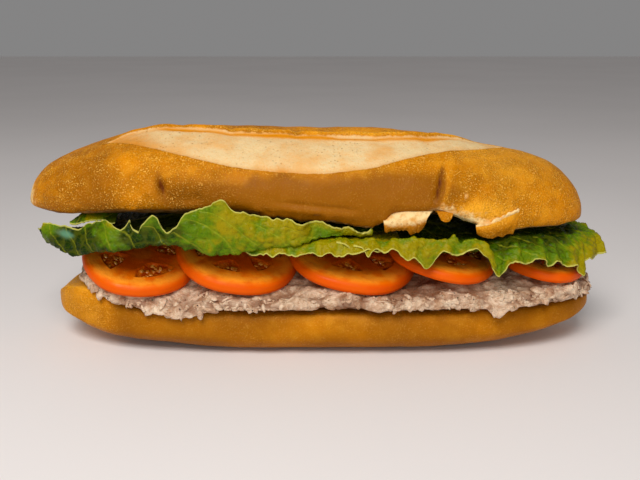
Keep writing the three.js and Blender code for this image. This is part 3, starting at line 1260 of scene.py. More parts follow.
@dataclass
class Flap:
    """Scrap of the upper half that hangs from its torn front edge."""

    name: str
    rails: Sequence[Knots]
    along: int
    across: int
    thickness: float
    crumb: Knots  # share across the flap and how much crumb shows
    toast: Knots  # share across the flap and how brown it is
    ragged: float  # depth of the rips along its free edge
    seed: int
    grain: float = 0.6

    def build(self, material: Material) -> Piece:
        """Builds and dresses the flap.

        Args:
            material: The crust's finish.

        Returns:
            The finished piece.
        """
        grid = loft(self.rails, np.linspace(0, 1, len(self.rails)), self.along, self.across)
        flat = grid.reshape(-1, 3)
        flat = flat + noises(flat, 5, self.seed) * np.array([0.3, 0.5, 0.4])
        flat[:, 1] -= 0.6 * (0.5 - cells(flat, 3.2, self.seed)[0])
        share = np.tile(np.linspace(0, 1, self.across), self.along)
        lengthwise = np.array([1, 0, 0])
        flat[:, 2] += self.ragged * ease(share, 0.7, 1.0) * rough(flat * lengthwise, 2.6, self.seed + 3)
        flat[:, 2] += 0.9 * ease(-share, -0.3, 0) * rough(flat * lengthwise, 3.0, self.seed + 5)
        piece, _, j = sheet(self.name, flat.reshape(grid.shape))
        v = j / (self.across - 1)
        paint(
            piece,
            slash=np.full(len(v), OUTSIDE),
            crumb=through(self.crumb, v),
            toast=through(self.toast, v),
            grain=np.full(len(v), self.grain),
        )
        apply_modifier(piece, "SOLIDIFY", thickness=self.thickness * MM, offset=0.0)
        apply_modifier(piece, "BEVEL", width=self.thickness * 0.3 * MM, segments=2, limit_method="ANGLE")
        smooth(piece)
        return finish_piece(piece, material)


@dataclass
class TornEdge:
    """The three scraps along the upper half's front edge."""

    def build(self, material: Material) -> None:
        """Builds every scrap."""
        for flap in (self.crumb(), self.nib(), self.crust()):
            flap.build(material)

    def crumb(self) -> Flap:
        """Wide flap of crumb, browned along its free edge.

        Returns:
            The flap.
        """
        rails = (
            (
                (30.5, -36.6, 70.4), (34.3, -36.8, 72.4), (39.1, -36.8, 74.6), (43.8, -36.8, 75.4),
                (48.6, -36.8, 75.2), (54, -36.6, 74.6),
            ),
            (
                (30.4, -39.8, 67.8), (35.2, -40.2, 68), (40.5, -40.4, 68.4), (45.8, -40.2, 69),
                (51, -39.2, 71),
            ),
            (
                (31, -39.4, 66.4), (33.8, -39.6, 65.5), (36.7, -39.6, 66), (40, -39.8, 65.2),
                (43.4, -39.6, 64.6), (46.2, -39.6, 65.8), (48.6, -39.4, 66), (50.2, -39, 68.4),
            ),
        )
        crumb = ((0, 1), (0.5, 0.9), (0.8, 0.3), (1, 0))
        toast = ((0, 0.5), (0.5, 0.3), (0.8, 0.7), (1, 1))
        return Flap("torn_crumb", rails, 90, 36, 1.4, crumb, toast, ragged=1.0, seed=201)

    def nib(self) -> Flap:
        """Small tongue of crust.

        Returns:
            The flap.
        """
        rails = (
            ((55.6, -36.8, 75), (59.3, -36.8, 75), (64.4, -36.8, 74.6)),
            ((56.8, -38.8, 72.2), (59.8, -39, 71.6), (63, -38.4, 71.6)),
            ((58.2, -39, 70.2), (60.2, -39.2, 69.4), (62, -38.8, 69.8)),
        )
        crumb, toast = ((0, 0.3), (1, 0)), ((0, 0.2), (1, 0.3))
        return Flap("torn_nib", rails, 24, 20, 1.2, crumb, toast, ragged=0.3, seed=211)

    def crust(self) -> Flap:
        """Curled flap of crust at the right of the tear.

        Returns:
            The flap.
        """
        rails = (
            (
                (75.3, -36.4, 66.2), (78.2, -36.8, 67.4), (82, -36.6, 68.4), (84.9, -36, 69.4),
                (88.3, -35.3, 70.9), (90.7, -34.6, 72.4), (93.6, -33.8, 73.7), (96, -32.8, 74.4),
            ),
            (
                (75.2, -37.2, 65.2), (79.6, -37.4, 64.9), (84.4, -36.8, 65.6), (89.3, -35.2, 66.7),
                (96, -32, 68),
            ),
            (
                (75.8, -36.4, 64), (77.3, -36.2, 62.4), (79.4, -36, 61.4), (83.2, -35.5, 60.9),
                (86.8, -34.2, 61.2), (89.7, -32.9, 61.2), (94, -31, 61.8),
            ),
        )
        crumb = ((0, 1), (0.18, 0.6), (0.34, 0.1), (1, 0.15))
        toast = ((0, -0.9), (0.5, -0.4), (0.8, 0.1), (1, 0.7))
        return Flap("torn_crust", rails, 80, 50, 1.4, crumb, toast, ragged=0.5, seed=221)


@dataclass
class LowerRoll:
    """Lower half of the roll, flat underneath, with a smooth crust."""

    node: str = "roll_lower_half"
    levels: int = 3

    def build(self, frame: dict, material: Material) -> Piece:
        """Builds and dresses the half.

        Args:
            frame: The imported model.
            material: The crust's finish.

        Returns:
            The finished piece.
        """
        piece = copy_node(frame["nodes"][self.node], "lower_roll")
        subdivide(piece, self.levels)
        points, out = places(piece), normals(piece)
        low, high = node_box(self.node)
        along = points[:, 0] - (low[0] + high[0]) / 2
        lift = ease(points[:, 2], 0.5, 5) * (0.5 * rough(points, 30, 61) + 0.22 * rough(points, 8, 65, 2))
        rim = ease(points[:, 2], 19, 24) * ease(np.abs(points[:, 1]), 22, 34)
        lift += 0.5 * rim * rough(points, 6, 69)
        points = np.clip(points + out * lift[:, None], low, high)
        move_to(piece, points)

        cut = ease(out[:, 2], 0.6, 0.9) * ease(points[:, 2], 15, 20)
        left_end = ease(-along, 98, 116)
        toast = 0.5 + 0.3 * noise(points, 20, 73)
        toast += 0.2 * bump(points[:, 2], 4, 6) + 0.4 * bump(along, -70, 34)
        # Painted shade on the cut face, under the salad that overhangs it; the cut left end is lighter.
        toast += 0.4 * cut * (1 - left_end) - left_end * (0.9 + 0.5 * cut)
        paint(
            piece,
            slash=np.full(len(points), OUTSIDE),
            crumb=cut * (0.35 - 0.3 * left_end),
            toast=toast,
            grain=0.22 + 0.4 * left_end,
        )
        smooth(piece)
        return finish_piece(piece, material, [self.node])


# ------------------------------------------------------------------------------ the salad


@dataclass
class Salad:
    """Shredded salad: a lumpy core, loose shreds on what shows of it, and specks of herb and pepper."""

    node: str = "salad_filling"
    voxel: float = 0.9
    shreds: int = 720
    specks: int = 70
    drips: Knots = ((-67, 12, 2.4), (87.5, 3.6, 4.4))  # place, width and depth
    reach: float = 47.5  # farthest that it stands out to the front and the back
    seed: int = 17

    def build(self, frame: dict, material: Material) -> Piece:
        """Builds the core and what lies on it.

        Args:
            frame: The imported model.
            material: The salad's finish.

        Returns:
            The core.
        """
        core = copy_node(frame["nodes"][self.node], "salad_core")
        subdivide(core, 1)
        activate(core)
        core.data.remesh_voxel_size = self.voxel * MM
        bpy.ops.object.voxel_remesh()
        points, out = places(core), normals(core)
        bent = (points + 2.2 * noises(points, 6, 80)) * np.array([0.7, 1, 1.2])
        clumps, lumps, crumbs = (0.5 - cells(bent, size, 83)[0] for size in (11, 5.5, 2.8))
        lift = 0.5 * rough(points, 22, 81, 2) + 0.15 * noise(points, 1.4, 89)
        lift += 2.9 * clumps + 1.9 * lumps + 0.7 * crumbs
        under = ease(-out[:, 2], 0.5, 0.95)
        lift = np.where(lift > 0, lift * (1 - 0.8 * under), lift)
        strands = points * np.array(STRANDS) + 0.8 * noise(points, 3, 85)[:, None]
        lift += 0.6 * rough(strands, 1.6, 87, 2) + 0.9 * ease(out[:, 2], 0.4, 0.9)
        points += out * lift[:, None]
        points[:, 1] = np.clip(points[:, 1], -self.reach, self.reach)
        for middle, width, drop in self.drips:
            hanging = ease(-points[:, 1], 37, 42) * ease(-points[:, 2], -34, -25)
            points[:, 2] -= drop * bump(points[:, 0], middle, width) * hanging
        move_to(core, points)
        # Painted shade in the dips between clumps and lumps, with random darker patches and the darker +X
        # tone.
        hollow = 0.5 * ease(-lumps, -0.08, 0.3) + 0.4 * ease(-clumps, 0.0, 0.35)
        hollow += 0.45 * ease(noise(points * np.array([1, 1, 0.4]), 16, 93), 0.1, 0.6)
        paint(core, hollow=hollow + self.shade(points))
        smooth(core)
        finish_piece(core, material, [self.node])
        self.add_shreds(core, material)
        self.add_specks(core)
        return core

    def shade(self, points: Array) -> Array:
        """Darker tone of the salad towards the +X end, past its pale left part."""
        return 0.2 * ease(points[:, 0], -64, -46) * (1 - 0.6 * bump(points[:, 0], 88, 7))

    def exposed(self, core: Piece, count: int, draw: Draw) -> tuple[Array, Array]:
        """Random places on the sides of the core that show.

        Args:
            core: The finished core.
            count: How many places are wanted.
            draw: Source of the choices.

        Returns:
            The places, in millimetres, and the surface's directions there.
        """
        points, out = places(core), normals(core)
        low, high = node_box(self.node)
        middle, half = (low + high) / 2, (high - low) / 2
        share = np.abs((points[:, 0] - middle[0]) / half[0]) ** 5 + np.abs(points[:, 1] / half[1]) ** 2
        weight = ease(share, 0.62, 0.8) * ease(out[:, 2], -0.9, -0.4) * ease(points[:, 2], 22, 27)
        weight *= np.where(points[:, 1] < 0, 1.6, 1.0)
        chosen = draw.choice(len(points), size=count, replace=False, p=weight / weight.sum())
        return points[chosen], out[chosen]

    def add_shreds(self, core: Piece, material: Material) -> None:
        """Scatters flakes and shreds over the sides of the core.

        Args:
            core: The finished core.
            material: The salad's finish.
        """
        draw = np.random.default_rng(self.seed)
        spots, out = self.exposed(core, self.shreds, draw)
        length = draw.gamma(3.0, 0.9, self.shreds) + 1.6
        width = length * draw.uniform(0.4, 0.8, self.shreds)
        thickness = draw.uniform(1.0, 1.7, self.shreds)
        sizes = np.clip(np.stack([length, width, thickness], axis=1), 1.0, 7.5)
        shapes = [pebble(91 + k, 2, 0.3) for k in range(6)]
        piece = scatter("salad_shreds", shapes, spots - out * 0.55, turned(out, draw, 0.2), sizes, draw)
        spread = places(piece)
        paint(piece, hollow=ease(noise(spread, 2.5, 99), 0.3, 0.9) * 0.5 + self.shade(spread))
        finish_piece(piece, material)

    def add_specks(self, core: Piece) -> None:
        """Scatters specks of herb and pepper.

        Args:
            core: The finished core.
        """
        draw = np.random.default_rng(self.seed + 1)
        for name, finish, count in (
            ("salad_herbs", PlainFinish((70, 84, 30), (44, 58, 22), 0.5), self.specks // 3),
            ("salad_pepper", PlainFinish((120, 66, 34), (70, 40, 24), 0.6), self.specks),
        ):
            spots, out = self.exposed(core, count, draw)
            sizes = draw.uniform(0.5, 1.5, (count, 3)) * np.array([1.0, 0.8, 0.4])
            shapes = [pebble(101, 1, 0.3), pebble(102, 1, 0.3)]
            piece = scatter(name, shapes, spots + out * 0.7, turned(out, draw, 0.3), sizes, draw)
            finish_piece(piece, finish.material(name))


# ------------------------------------------------------------------------------ tomato slices


@dataclass
class TomatoSlice:
    """One slice: taut skin round a streaked wall, with seed pockets round a core."""

    number: int
    pockets: int
    turn: float  # bearing of the first pocket, in degrees, from +X
    depth: float = 1.4  # of the pockets
    skin_round: float = 1.7
    trim: float = 0.985  # share of the CAD slice's radius
    segments: int = 168
    rings: int = 96

    @property
    def node(self) -> str:
        """Name of the CAD node that the slice stands for."""
        return f"tomato_slice_{self.number}"

    def plane(self, frame: dict) -> tuple[Array, Array, float, float]:
        """Where the slice lies.

        Args:
            frame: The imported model.

        Returns:
            Its middle, its three axes as columns, its radius and half its thickness.
        """
        points = places(frame["nodes"][self.node])
        middle = (points.min(0) + points.max(0)) / 2
        axes = np.linalg.svd(points - points.mean(0), full_matrices=False)[2]
        up = axes[2] * np.sign(axes[2][2])
        side = np.cross([0, 1, 0], up)
        side /= np.linalg.norm(side)
        away = (points - middle) @ up
        reach = np.linalg.norm(points - middle - away[:, None] * up, axis=1)
        return middle, np.stack([side, np.cross(up, side), up], axis=1), reach.max() * self.trim, away.max()

    def pocket_share(self, radius: Array, bearing: Array) -> Array:
        """How deep in a seed pocket a point lies.

        Args:
            radius: Distance from the middle, as a share of the slice's radius.
            bearing: Direction from the middle, in radians.

        Returns:
            0 on the flesh, rising to 1 inside a pocket.
        """
        step = 2 * math.pi / self.pockets
        start = math.radians(self.turn)
        index = np.round((bearing - start) / step)
        off = bearing - start - index * step
        wobble = np.sin(index * 2.7 + self.number)
        inner, outer = 0.26 + 0.05 * wobble, 0.7 + 0.05 * np.cos(index * 1.9 + self.number)
        width = (0.33 + 0.05 * wobble) * step * np.clip((radius - inner) / 0.2, 0, 1) ** 0.5
        across = 1 - np.abs(off) / np.clip(width, 1e-3, None)
        inside = np.minimum(across * width * radius * 3.2, np.minimum(radius - inner, outer - radius) * 3)
        return ease(inside * 4.0, 0, 1)

    def build(self, frame: dict, material: Material) -> tuple[Array, Array]:
        """Builds and dresses the slice.

        Args:
            frame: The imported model.
            material: The tomato's finish.

        Returns:
            Places for seeds in its pockets, and the slice's axes as columns.
        """
        middle, axes, size, half = self.plane(frame)
        bpy.ops.object.select_all(action="DESELECT")
        bpy.ops.mesh.primitive_uv_sphere_add(segments=self.segments, ring_count=self.rings, radius=1.0)
        piece = bpy.context.active_object
        piece.name = piece.data.name = self.node.replace("slice", "cut")
        unit = places(piece) * MM
        bearing = np.arctan2(unit[:, 1], unit[:, 0])
        t = 1 - np.arccos(np.clip(unit[:, 2], -1, 1)) / math.pi  # 0 under the middle, 1 on top of it
        radius, level, skin = self.outline(t, size, half)
        share, zero = radius / size, np.zeros_like(radius)
        ring = np.stack([np.cos(bearing), np.sin(bearing), zero], axis=1)
        lobes = 0.012 * (1 + np.cos(5 * bearing + self.number - 1)) + 0.01 * (1 + np.cos(2 * bearing))
        roundness = 1 - 0.01 * np.abs(noise(ring * 3 + self.number * 7, 1.0, 5)) - lobes
        top = ease(t, 0.5, 0.6)
        pocket = self.pocket_share(share, bearing) * top
        field = ring * radius[:, None] + np.array([0, 0, 9.0 * self.number])
        level = level - pocket * (self.depth + 0.5 * noise(field, 3, 3)) * ease(pocket, 0, 1)
        flesh = top * (1 - skin)
        level += flesh * (0.16 * rough(field, 3.2, 13, 2) + 0.5 * np.clip(0.22 - share, 0, 1))
        level += flesh * 0.35 * bump(pocket, 0.12, 0.1)
        local = ring * (radius * roundness)[:, None]
        local[:, 2] = level
        placed = local @ axes.T + middle
        move_to(piece, placed)
        rays = np.stack([bearing * 9, share * 1.5, zero + self.number], axis=1)
        streak = (0.5 + 0.5 * noise(rays, 1.0, 31)) * ease(share, 0.3, 0.9)
        streak += 0.9 * ease(-share, -0.3, -0.1) + 0.6 * bump(share, 0.84, 0.05)
        # Painted shade towards the middle of the slice, where the lettuce above shades it.
        heart = ease(-share, -0.8, -0.4)
        paint(piece, skin=skin, pocket=pocket, streak=np.clip(streak, 0, 1), heart=heart)
        smooth(piece)
        finish_piece(piece, material, [self.node])
        return placed[(pocket > 0.85) & (level > 0)], axes

    def outline(self, t: Array, size: float, half: float) -> tuple[Array, Array, Array]:
        """Outline of the slice's section.

        Args:
            t: Share of the way from the middle of the under face, round the skin, to the top's middle.
            size: The slice's radius.
            half: Half its thickness.

        Returns:
            Distance from the axis, height above the middle plane, and how much is skin.
        """
        curve = self.skin_round
        knots = (
            (0.0, 0.0, -half), (0.2, size - curve - 1.5, -half), (0.235, size - curve, -half + 0.05),
            (0.27, size - 0.35 * curve, -half + 0.45), (0.32, size, -half + curve),
            (0.37, size + 0.05, -0.8), (0.43, size - 0.5, half - 2.0), (0.47, size - 1.3, half - 1.1),
            (0.51, size - 2.6, half - 0.45), (0.55, size - 4.2, half - 0.1), (0.6, size - 6.0, half),
            (1.0, 0.0, half),
        )
        at, radii, levels = zip(*knots)
        radius, level = np.interp(t, at, radii), np.interp(t, at, levels)
        return radius, level, ease(t, 0.215, 0.25) * ease(-t, -0.57, -0.42)


@dataclass
class Tomatoes:
    """All the slices, with the seeds that lie in their pockets."""

    slices: Sequence[TomatoSlice] = (
        TomatoSlice(1, 4, -55),
        TomatoSlice(2, 6, -100),
        TomatoSlice(3, 5, -98),
        TomatoSlice(4, 5, -70),
        TomatoSlice(5, 4, -90),
    )
    seeds_each: int = 46
    seed_size: Sequence[float] = (2.7, 1.8, 1.0)
    seed: int = 23

    def build(self, frame: dict) -> None:
        """Builds every slice and one piece of seeds.

        Args:
            frame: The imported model.
        """
        material = TomatoFinish().material("tomato_flesh")
        draw = np.random.default_rng(self.seed)
        spots, frames = [], []
        for cut in self.slices:
            beds, axes = cut.build(frame, material)
            chosen = beds[draw.choice(len(beds), size=self.seeds_each, replace=False)]
            up = np.tile(axes[:, 2], (self.seeds_each, 1))
            spots.append(chosen + up * 0.15)
            frames.append(turned(up, draw, 0.35))
        spots, frames = np.concatenate(spots), np.concatenate(frames)
        sizes = draw.uniform(0.8, 1.1, (len(spots), 1)) * np.array([self.seed_size])
        seeds = scatter("tomato_seeds", [self.seed_shape()], spots, frames, sizes, draw)
        finish = PlainFinish((240, 168, 70), (220, 120, 30), 0.14, 0.9)
        finish_piece(seeds, finish.material("tomato_seed"))

    def seed_shape(self) -> tuple[Array, Array]:
        """Unit seed, pointed at one end.

        Returns:
            Its vertices and its triangles.
        """
        points, triangles = pebble(7, 2, 0.06)
        points[:, 1] *= 1 - 0.35 * ease(points[:, 0], 0, 1)
        return points, triangles


# ------------------------------------------------------------------------------ lettuce


@dataclass
class Leaf:
    """One ruffled lettuce leaf, laid through rails that run beside each other from end to end."""

    name: str
    nodes: Sequence[str]
    rails: Sequence[Knots]
    spread: Sequence[float]  # share across the leaf of each rail
    tone_along: Knots  # share along the leaf and how yellow it is
    # tone_across adds painted light at the front margin and painted shade further in, under the roll.
    tone_across: Knots  # share across the leaf and what that adds
    along: int = 290
    across: int = 165
    thickness: float = 0.5
    ruffle: float = 2.6
    wave: float = 9.0
    quilt: float = 1.0
    quilt_cell: float = 6.0
    margin: float = 15.0  # width of the ruffled margins
    vein_lean: float = 0.9
    vein_gap: float = 13.0
    # Painted bluish highlight: share along, share across and size.
    bloom: Knots = ()  # share along, share across and size of a bluish patch
    pleats: float = 0.0  # 1 where the first end is gathered to a point
    pleat_gap: float = 5.2
    seed: int = 1

    def build(self, material: Material, reach: Sequence[float]) -> Piece:
        """Builds and dresses the leaf.

        Args:
            material: The leaf's finish.
            reach: Farthest that it may stand out in X and in Y, in millimetres.

        Returns:
            The finished piece.
        """
        grid = loft(self.rails, self.spread, self.along, self.across)
        lengthwise, crosswise = np.gradient(grid, axis=0), np.gradient(grid, axis=1)
        out = np.cross(lengthwise, crosswise)
        out /= np.linalg.norm(out, axis=2, keepdims=True) + 1e-9
        front = out[:, : self.across // 5].reshape(-1, 3).mean(axis=0)
        out *= np.sign(front @ np.array([0, -1, 0.5]))
        arc = np.cumsum(np.linalg.norm(crosswise, axis=2), axis=1)
        run = np.cumsum(np.linalg.norm(lengthwise, axis=2), axis=0)
        shape = arc.shape
        edge = np.minimum(arc, arc[:, -1:] - arc)
        margin = ease(-edge, -self.margin, 0)
        flat = grid.reshape(-1, 3)

        striped = np.stack([grid[:, :, 0], arc * 0.3, arc * 0], axis=2).reshape(-1, 3)
        waves = rough(striped, self.wave, self.seed, 2).reshape(shape)
        crumple = 1 - 2 * np.abs(noise(flat * np.array([1, 0.8, 0.8]), 7.5, self.seed + 5)).reshape(shape)
        vein = self.vein_field(run, arc, flat)
        near, second = cells(flat, self.quilt_cell, self.seed + 9)
        web = ease(second - near, 0.02, 0.4).reshape(shape)
        fine, finer = cells(flat, self.quilt_cell * 0.42, self.seed + 13)
        small_web = ease(finer - fine, 0.0, 0.4).reshape(shape)
        dome = web * (0.6 + 0.4 * np.clip(1 - 1.2 * near, 0, 1).reshape(shape)) * (1 - 0.8 * vein)
        lift = self.ruffle * (0.18 + margin) * waves + 0.8 * crumple * (1 - 0.5 * margin)
        lift += self.quilt * (dome - 0.5) * (1 - 0.45 * margin) + 0.3 * self.quilt * (small_web - 0.5)
        lift *= 1 - self.pleats * ease(-run, -18, -3)
        gathered = ease(-run, -26, -8) * ease(run, 1, 6)
        phase = (run + 0.55 * arc) / self.pleat_gap
        lift += 1.1 * self.pleats * gathered * (np.abs(phase - np.round(phase)) * 4 - 1)
        grid = grid + out * lift[:, :, None]

        margins = np.stack([grid[:, :, 0], arc * 0, arc * 0], axis=2).reshape(-1, 3)
        ragged = rough(margins, 4.5, self.seed + 14)
        sideways = crosswise / (np.linalg.norm(crosswise, axis=2, keepdims=True) + 1e-9)
        stretch = ragged.reshape(shape) * 1.1 * (ease(-(arc[:, -1:] - arc), -6, 0) - ease(-arc, -6, 0))
        grid = grid + sideways * stretch[:, :, None]
        for axis, farthest in enumerate(reach):
            over = np.clip(np.abs(grid[:, :, axis]) - (farthest - self.thickness - 3), 0, None)
            grid[:, :, axis] -= np.sign(grid[:, :, axis]) * (over - 2.6 * np.tanh(over / 2.6))

        piece, i, j = sheet(self.name, grid)
        u, v = i / (self.along - 1), j / (self.across - 1)
        v = v * (0.35 + 0.65 * v)
        # Tone along the leaf, with painted light and shade across it.
        tone = through(self.tone_along, u) + through(self.tone_across, v)
        bloom = u * 0
        for middle_u, middle_v, size in self.bloom:
            bloom = bloom + bump(u, middle_u, size) * bump(v, middle_v, size * 1.6)
        paint(
            piece,
            vein=vein[i, j],
            web=(1 - web[i, j]) * 0.9 + (1 - small_web[i, j]) * 0.35,
            rim=ease(-edge[i, j], -1.5, -0.35),
            # Lighter on the raised quilting and ruffles and darker in their dips: painted light and shade.
            tone=tone + 0.12 * (dome[i, j] - 0.5) + 0.35 * lift[i, j] / self.ruffle,
            bloom=bloom,
        )
        apply_modifier(piece, "SOLIDIFY", thickness=self.thickness * MM, offset=0.0)
        smooth(piece)
        return finish_piece(piece, material, self.nodes)

    def vein_field(self, run: Array, arc: Array, flat: Array) -> Array:
        """Veins: the midrib, and branches that lean from it to the margins.

        Args:
            run: Distance along the leaf from its first end.
            arc: Distance across it from its front edge.
            flat: Places of the sheet's points.

        Returns:
            1 on a vein, falling to 0 between veins.
        """
        rib = np.abs(arc - arc[:, -1:] * 0.55)
        sway = 3.0 * rough(flat, 16, self.seed + 19, 2).reshape(run.shape)
        phase = (run + self.vein_lean * rib + sway) / self.vein_gap
        branch = np.abs(phase - np.round(phase)) * self.vein_gap
        main = ease(-rib, -3.2, -1.0)
        return np.maximum(main, ease(-branch, -1.0, -0.15))


@dataclass
class Lettuce:
    """The leaves between the tomato and the upper half of the roll."""

    def build(self) -> None:
        """Builds every leaf."""
        material = LeafFinish().material("lettuce_blade")
        reach = [max(abs(corner[axis]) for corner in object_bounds()) / MM for axis in (0, 1)]
        for leaf in (self.left(), self.curl(), self.right(), self.inner()):
            leaf.build(material, reach)

    def left(self) -> Leaf:
        """Leaf whose front margin stands up before the roll, with its gathered tip at the -X end.

        Returns:
            The leaf.
        """
        edge = (
            (-144.6, -12, 59.9), (-141, -17, 61.6), (-137, -20.5, 63.2), (-132, -25, 64.6),
            (-126, -28.5, 64.6), (-121, -31, 64.4), (-115, -33, 67), (-108, -35.4, 69.2),
            (-103, -37, 70), (-99, -39.5, 69.2), (-94.5, -43.5, 68), (-90.3, -46.3, 70.8),
            (-87, -45.6, 67), (-83, -46.3, 70), (-79.6, -46.8, 73), (-77.6, -47, 73.8),
            (-75.6, -47.4, 70.4), (-73, -48.2, 66.9), (-69.5, -48.2, 66.5), (-66.6, -47.6, 69),
            (-64.6, -47, 72.6), (-60.4, -46.6, 75.3), (-55, -47, 77.7), (-50, -47.6, 80.6),
            (-46.4, -47.8, 81.8), (-43.4, -47.4, 80), (-40.6, -46.8, 76.6), (-37, -46.4, 75.2),
            (-31, -45.6, 74.6), (-23.6, -45, 73.8), (-16, -44.2, 71.6), (-8, -43.4, 70.2),
            (0, -42.8, 69.2), (10, -41.8, 67.6), (18, -39, 65.6), (25, -34, 63.6),
        )
        wall = (
            (-144.5, -12.3, 59.5), (-138.5, -20, 59.8), (-131, -27.5, 60.2), (-122, -34, 59.6),
            (-114, -39, 60), (-104, -43.6, 61), (-95, -45, 62.6), (-88, -46.2, 64), (-80, -45.6, 65.4),
            (-72, -46.2, 62.6), (-64, -47.3, 66), (-54, -46.8, 68.5), (-45, -48, 69),
            (-36, -46.4, 66.4), (-26, -46.4, 65.4), (-10, -43.8, 64.4), (8, -40.5, 63.5),
            (25, -35, 63.3),
        )
        fold = (
            (-144.3, -12, 59.2), (-139, -18, 57), (-133, -24, 54.6), (-127.5, -29.5, 52.8),
            (-122.5, -33, 51.6), (-117.5, -36, 52), (-111, -39.5, 54.4), (-105, -42, 56.2),
            (-95, -44.5, 57.2), (-88, -45, 58.2), (-80, -46, 60.4), (-73, -46.3, 59.8),
            (-66, -46, 58.6), (-57, -46, 56.8), (-45, -46, 56.2), (-36, -45.8, 56.9), (-26, -45, 58.4),
            (-14, -44, 59.4), (0, -41.5, 61.4), (12, -38, 62.4), (25, -34, 62.8),
        )
        inner = (
            (-142, -11, 59), (-128, -19, 57.6), (-114, -27, 57.4), (-100, -33, 58.4), (-80, -35, 60),
            (-50, -36, 60.6), (-20, -35, 61.6), (25, -26, 62.8),
        )
        rib = (
            (-120, -2, 57), (-105, -1, 60), (-90, 0, 62), (-50, 0, 63.4), (-10, 0, 64), (25, 0, 63.5),
        )
        back = (
            (-112, 20, 59), (-100, 31, 60.5), (-80, 37, 61.5), (-50, 38, 62.4), (-20, 37, 63.2),
            (25, 27, 63.3),
        )
        far_edge = (
            (-118, 30, 59), (-108, 38, 55), (-99, 43, 61), (-90, 45.5, 53.5), (-79, 47, 61),
            (-68, 47.6, 54), (-56, 47.6, 64), (-45, 47.4, 57), (-33, 47, 66), (-20, 46, 62),
            (-6, 44, 66), (10, 40, 64.5), (25, 33, 63.6),
        )
        return Leaf(
            "lettuce_left", ["lettuce_leaf_left"], (edge, wall, fold, inner, rib, back, far_edge),
            (0, 0.1, 0.19, 0.33, 0.55, 0.82, 1),
            (
                (0, -0.05), (0.12, -0.05), (0.2, -0.05), (0.28, 0.04), (0.4, 0.15), (0.5, 0.4),
                (0.65, 0.85), (0.8, 0.8), (1, 0.6),
            ),
            ((0, 0.3), (0.07, 0.05), (0.16, -0.1), (0.25, -0.4), (1, -0.3)),
            bloom=((0.115, 0.07, 0.024),), pleats=1.0, seed=3,
        )

    def curl(self) -> Leaf:
        """Small folded flap of leaf under the roll's -X end, clear of the leaf before it.

        Returns:
            The leaf.
        """
        rails = (
            (
                (-124, -25, 65), (-121, -25.5, 65.3), (-116, -26, 66), (-110, -27, 66.8),
                (-101, -28, 66.6),
            ),
            (
                (-124, -24, 65.8), (-120.5, -22.5, 68.2), (-116, -21.5, 69), (-110, -21, 69.2),
                (-101, -21, 68.8),
            ),
            (
                (-123.5, -20, 65.4), (-119, -16, 68), (-114, -14, 68.4), (-108, -13, 68.4),
                (-101, -13, 68),
            ),
            ((-119, -12, 65), (-114, -8, 65.6), (-108, -6, 66), (-104, -5, 66), (-100, -5, 66)),
        )
        return Leaf(
            "lettuce_curl", [], rails, (0, 0.3, 0.65, 1),
            ((0, 0.15), (1, 0.05)), ((0, 0.2), (0.3, 0), (1, -0.2)),
            along=90, across=60, ruffle=0.7, wave=5, quilt=0.5, quilt_cell=4.5, seed=29,
        )

    def right(self) -> Leaf:
        """Leaf whose front margin hangs over the slices, with its tip at the +X end.

        Returns:
            The leaf.
        """
        edge = (
            (149.3, -6, 44.8), (145, -12, 46.5), (139.7, -18, 43.7), (135, -23, 45.4),
            (130.2, -28, 39.8), (126, -31, 44.4), (120.5, -34, 45.2), (116, -36, 48.6),
            (110.8, -38, 47.8), (105, -40, 50.4), (99, -41.5, 49.6), (94.6, -43.5, 51.2),
            (91, -45, 49.6), (88.6, -45.8, 47), (85.6, -46.6, 43.6), (82, -46.8, 46.4),
            (79, -46.2, 52.4), (75.1, -46, 56.6), (69.6, -46, 56.4), (64, -46, 55.8), (59.2, -46, 55.4),
            (54.5, -46.2, 52.4), (51, -46.4, 48.4), (48.5, -46.2, 52.2), (45, -46, 54),
            (41.3, -46, 53.2), (37, -46, 56), (31, -46, 57), (26, -45.6, 56.4), (23.2, -45.4, 54.2),
            (20, -44.6, 57.6), (12, -43.4, 59.6), (0, -41, 60),
        )
        ridge = (
            (148, -5, 49), (141, -14, 49), (134, -22, 49), (125, -28.5, 50), (115, -33.5, 52.4),
            (105, -37.4, 53.8), (95, -40.4, 54.6), (88, -42.4, 53.4), (84, -43.6, 52.6),
            (80.4, -43.6, 56.4), (77, -43, 60.2), (74.3, -42.6, 62), (70, -42.4, 61.2),
            (67, -42.4, 60.6), (63.8, -42.4, 63.6), (61, -42.4, 62), (53.4, -42.2, 61.6),
            (45, -42, 62.2), (38, -42, 61.8), (31, -42, 61.4), (16, -41.4, 61.2), (0, -38.4, 60.8),
        )
        trough = (
            (146.5, -3, 52.4), (138, -11, 53.4), (128, -18.5, 55), (116, -25.5, 57), (104, -30.5, 58.2),
            (93, -33.5, 58.4), (84, -35, 56.8), (74, -35.4, 55), (60, -36, 54.6), (44, -36.4, 55.6),
            (28, -36.4, 58), (14, -35, 59.6), (0, -32, 60.2),
        )
        near = (
            (146, 1, 53.4), (136, -5, 55.6), (122, -11, 57.4), (105, -17, 58.4), (86, -22, 57.4),
            (62, -24, 54.6), (36, -25, 56.6), (0, -24, 60),
        )
        rib = (
            (145.5, 8, 54), (128, 5, 57.6), (105, 2, 58.6), (75, 0, 57.4), (40, 0, 59.2), (0, 0, 60.2),
        )
        back = (
            (144, 15, 55), (132, 21, 56.4), (116, 28, 57.6), (94, 33, 58.6), (66, 37, 59),
            (34, 37, 59.8), (0, 33, 60),
        )
        far_edge = (
            (142, 20, 55.6), (136, 28, 50), (129, 33, 56.5), (120, 37.5, 48), (110, 41, 55.5),
            (99, 44, 47.5), (88, 46, 56), (77, 47, 49), (66, 47.4, 57), (55, 47.4, 49.5), (44, 47, 57),
            (32, 46, 51), (20, 44.6, 58), (10, 42, 55), (0, 39, 58.6),
        )
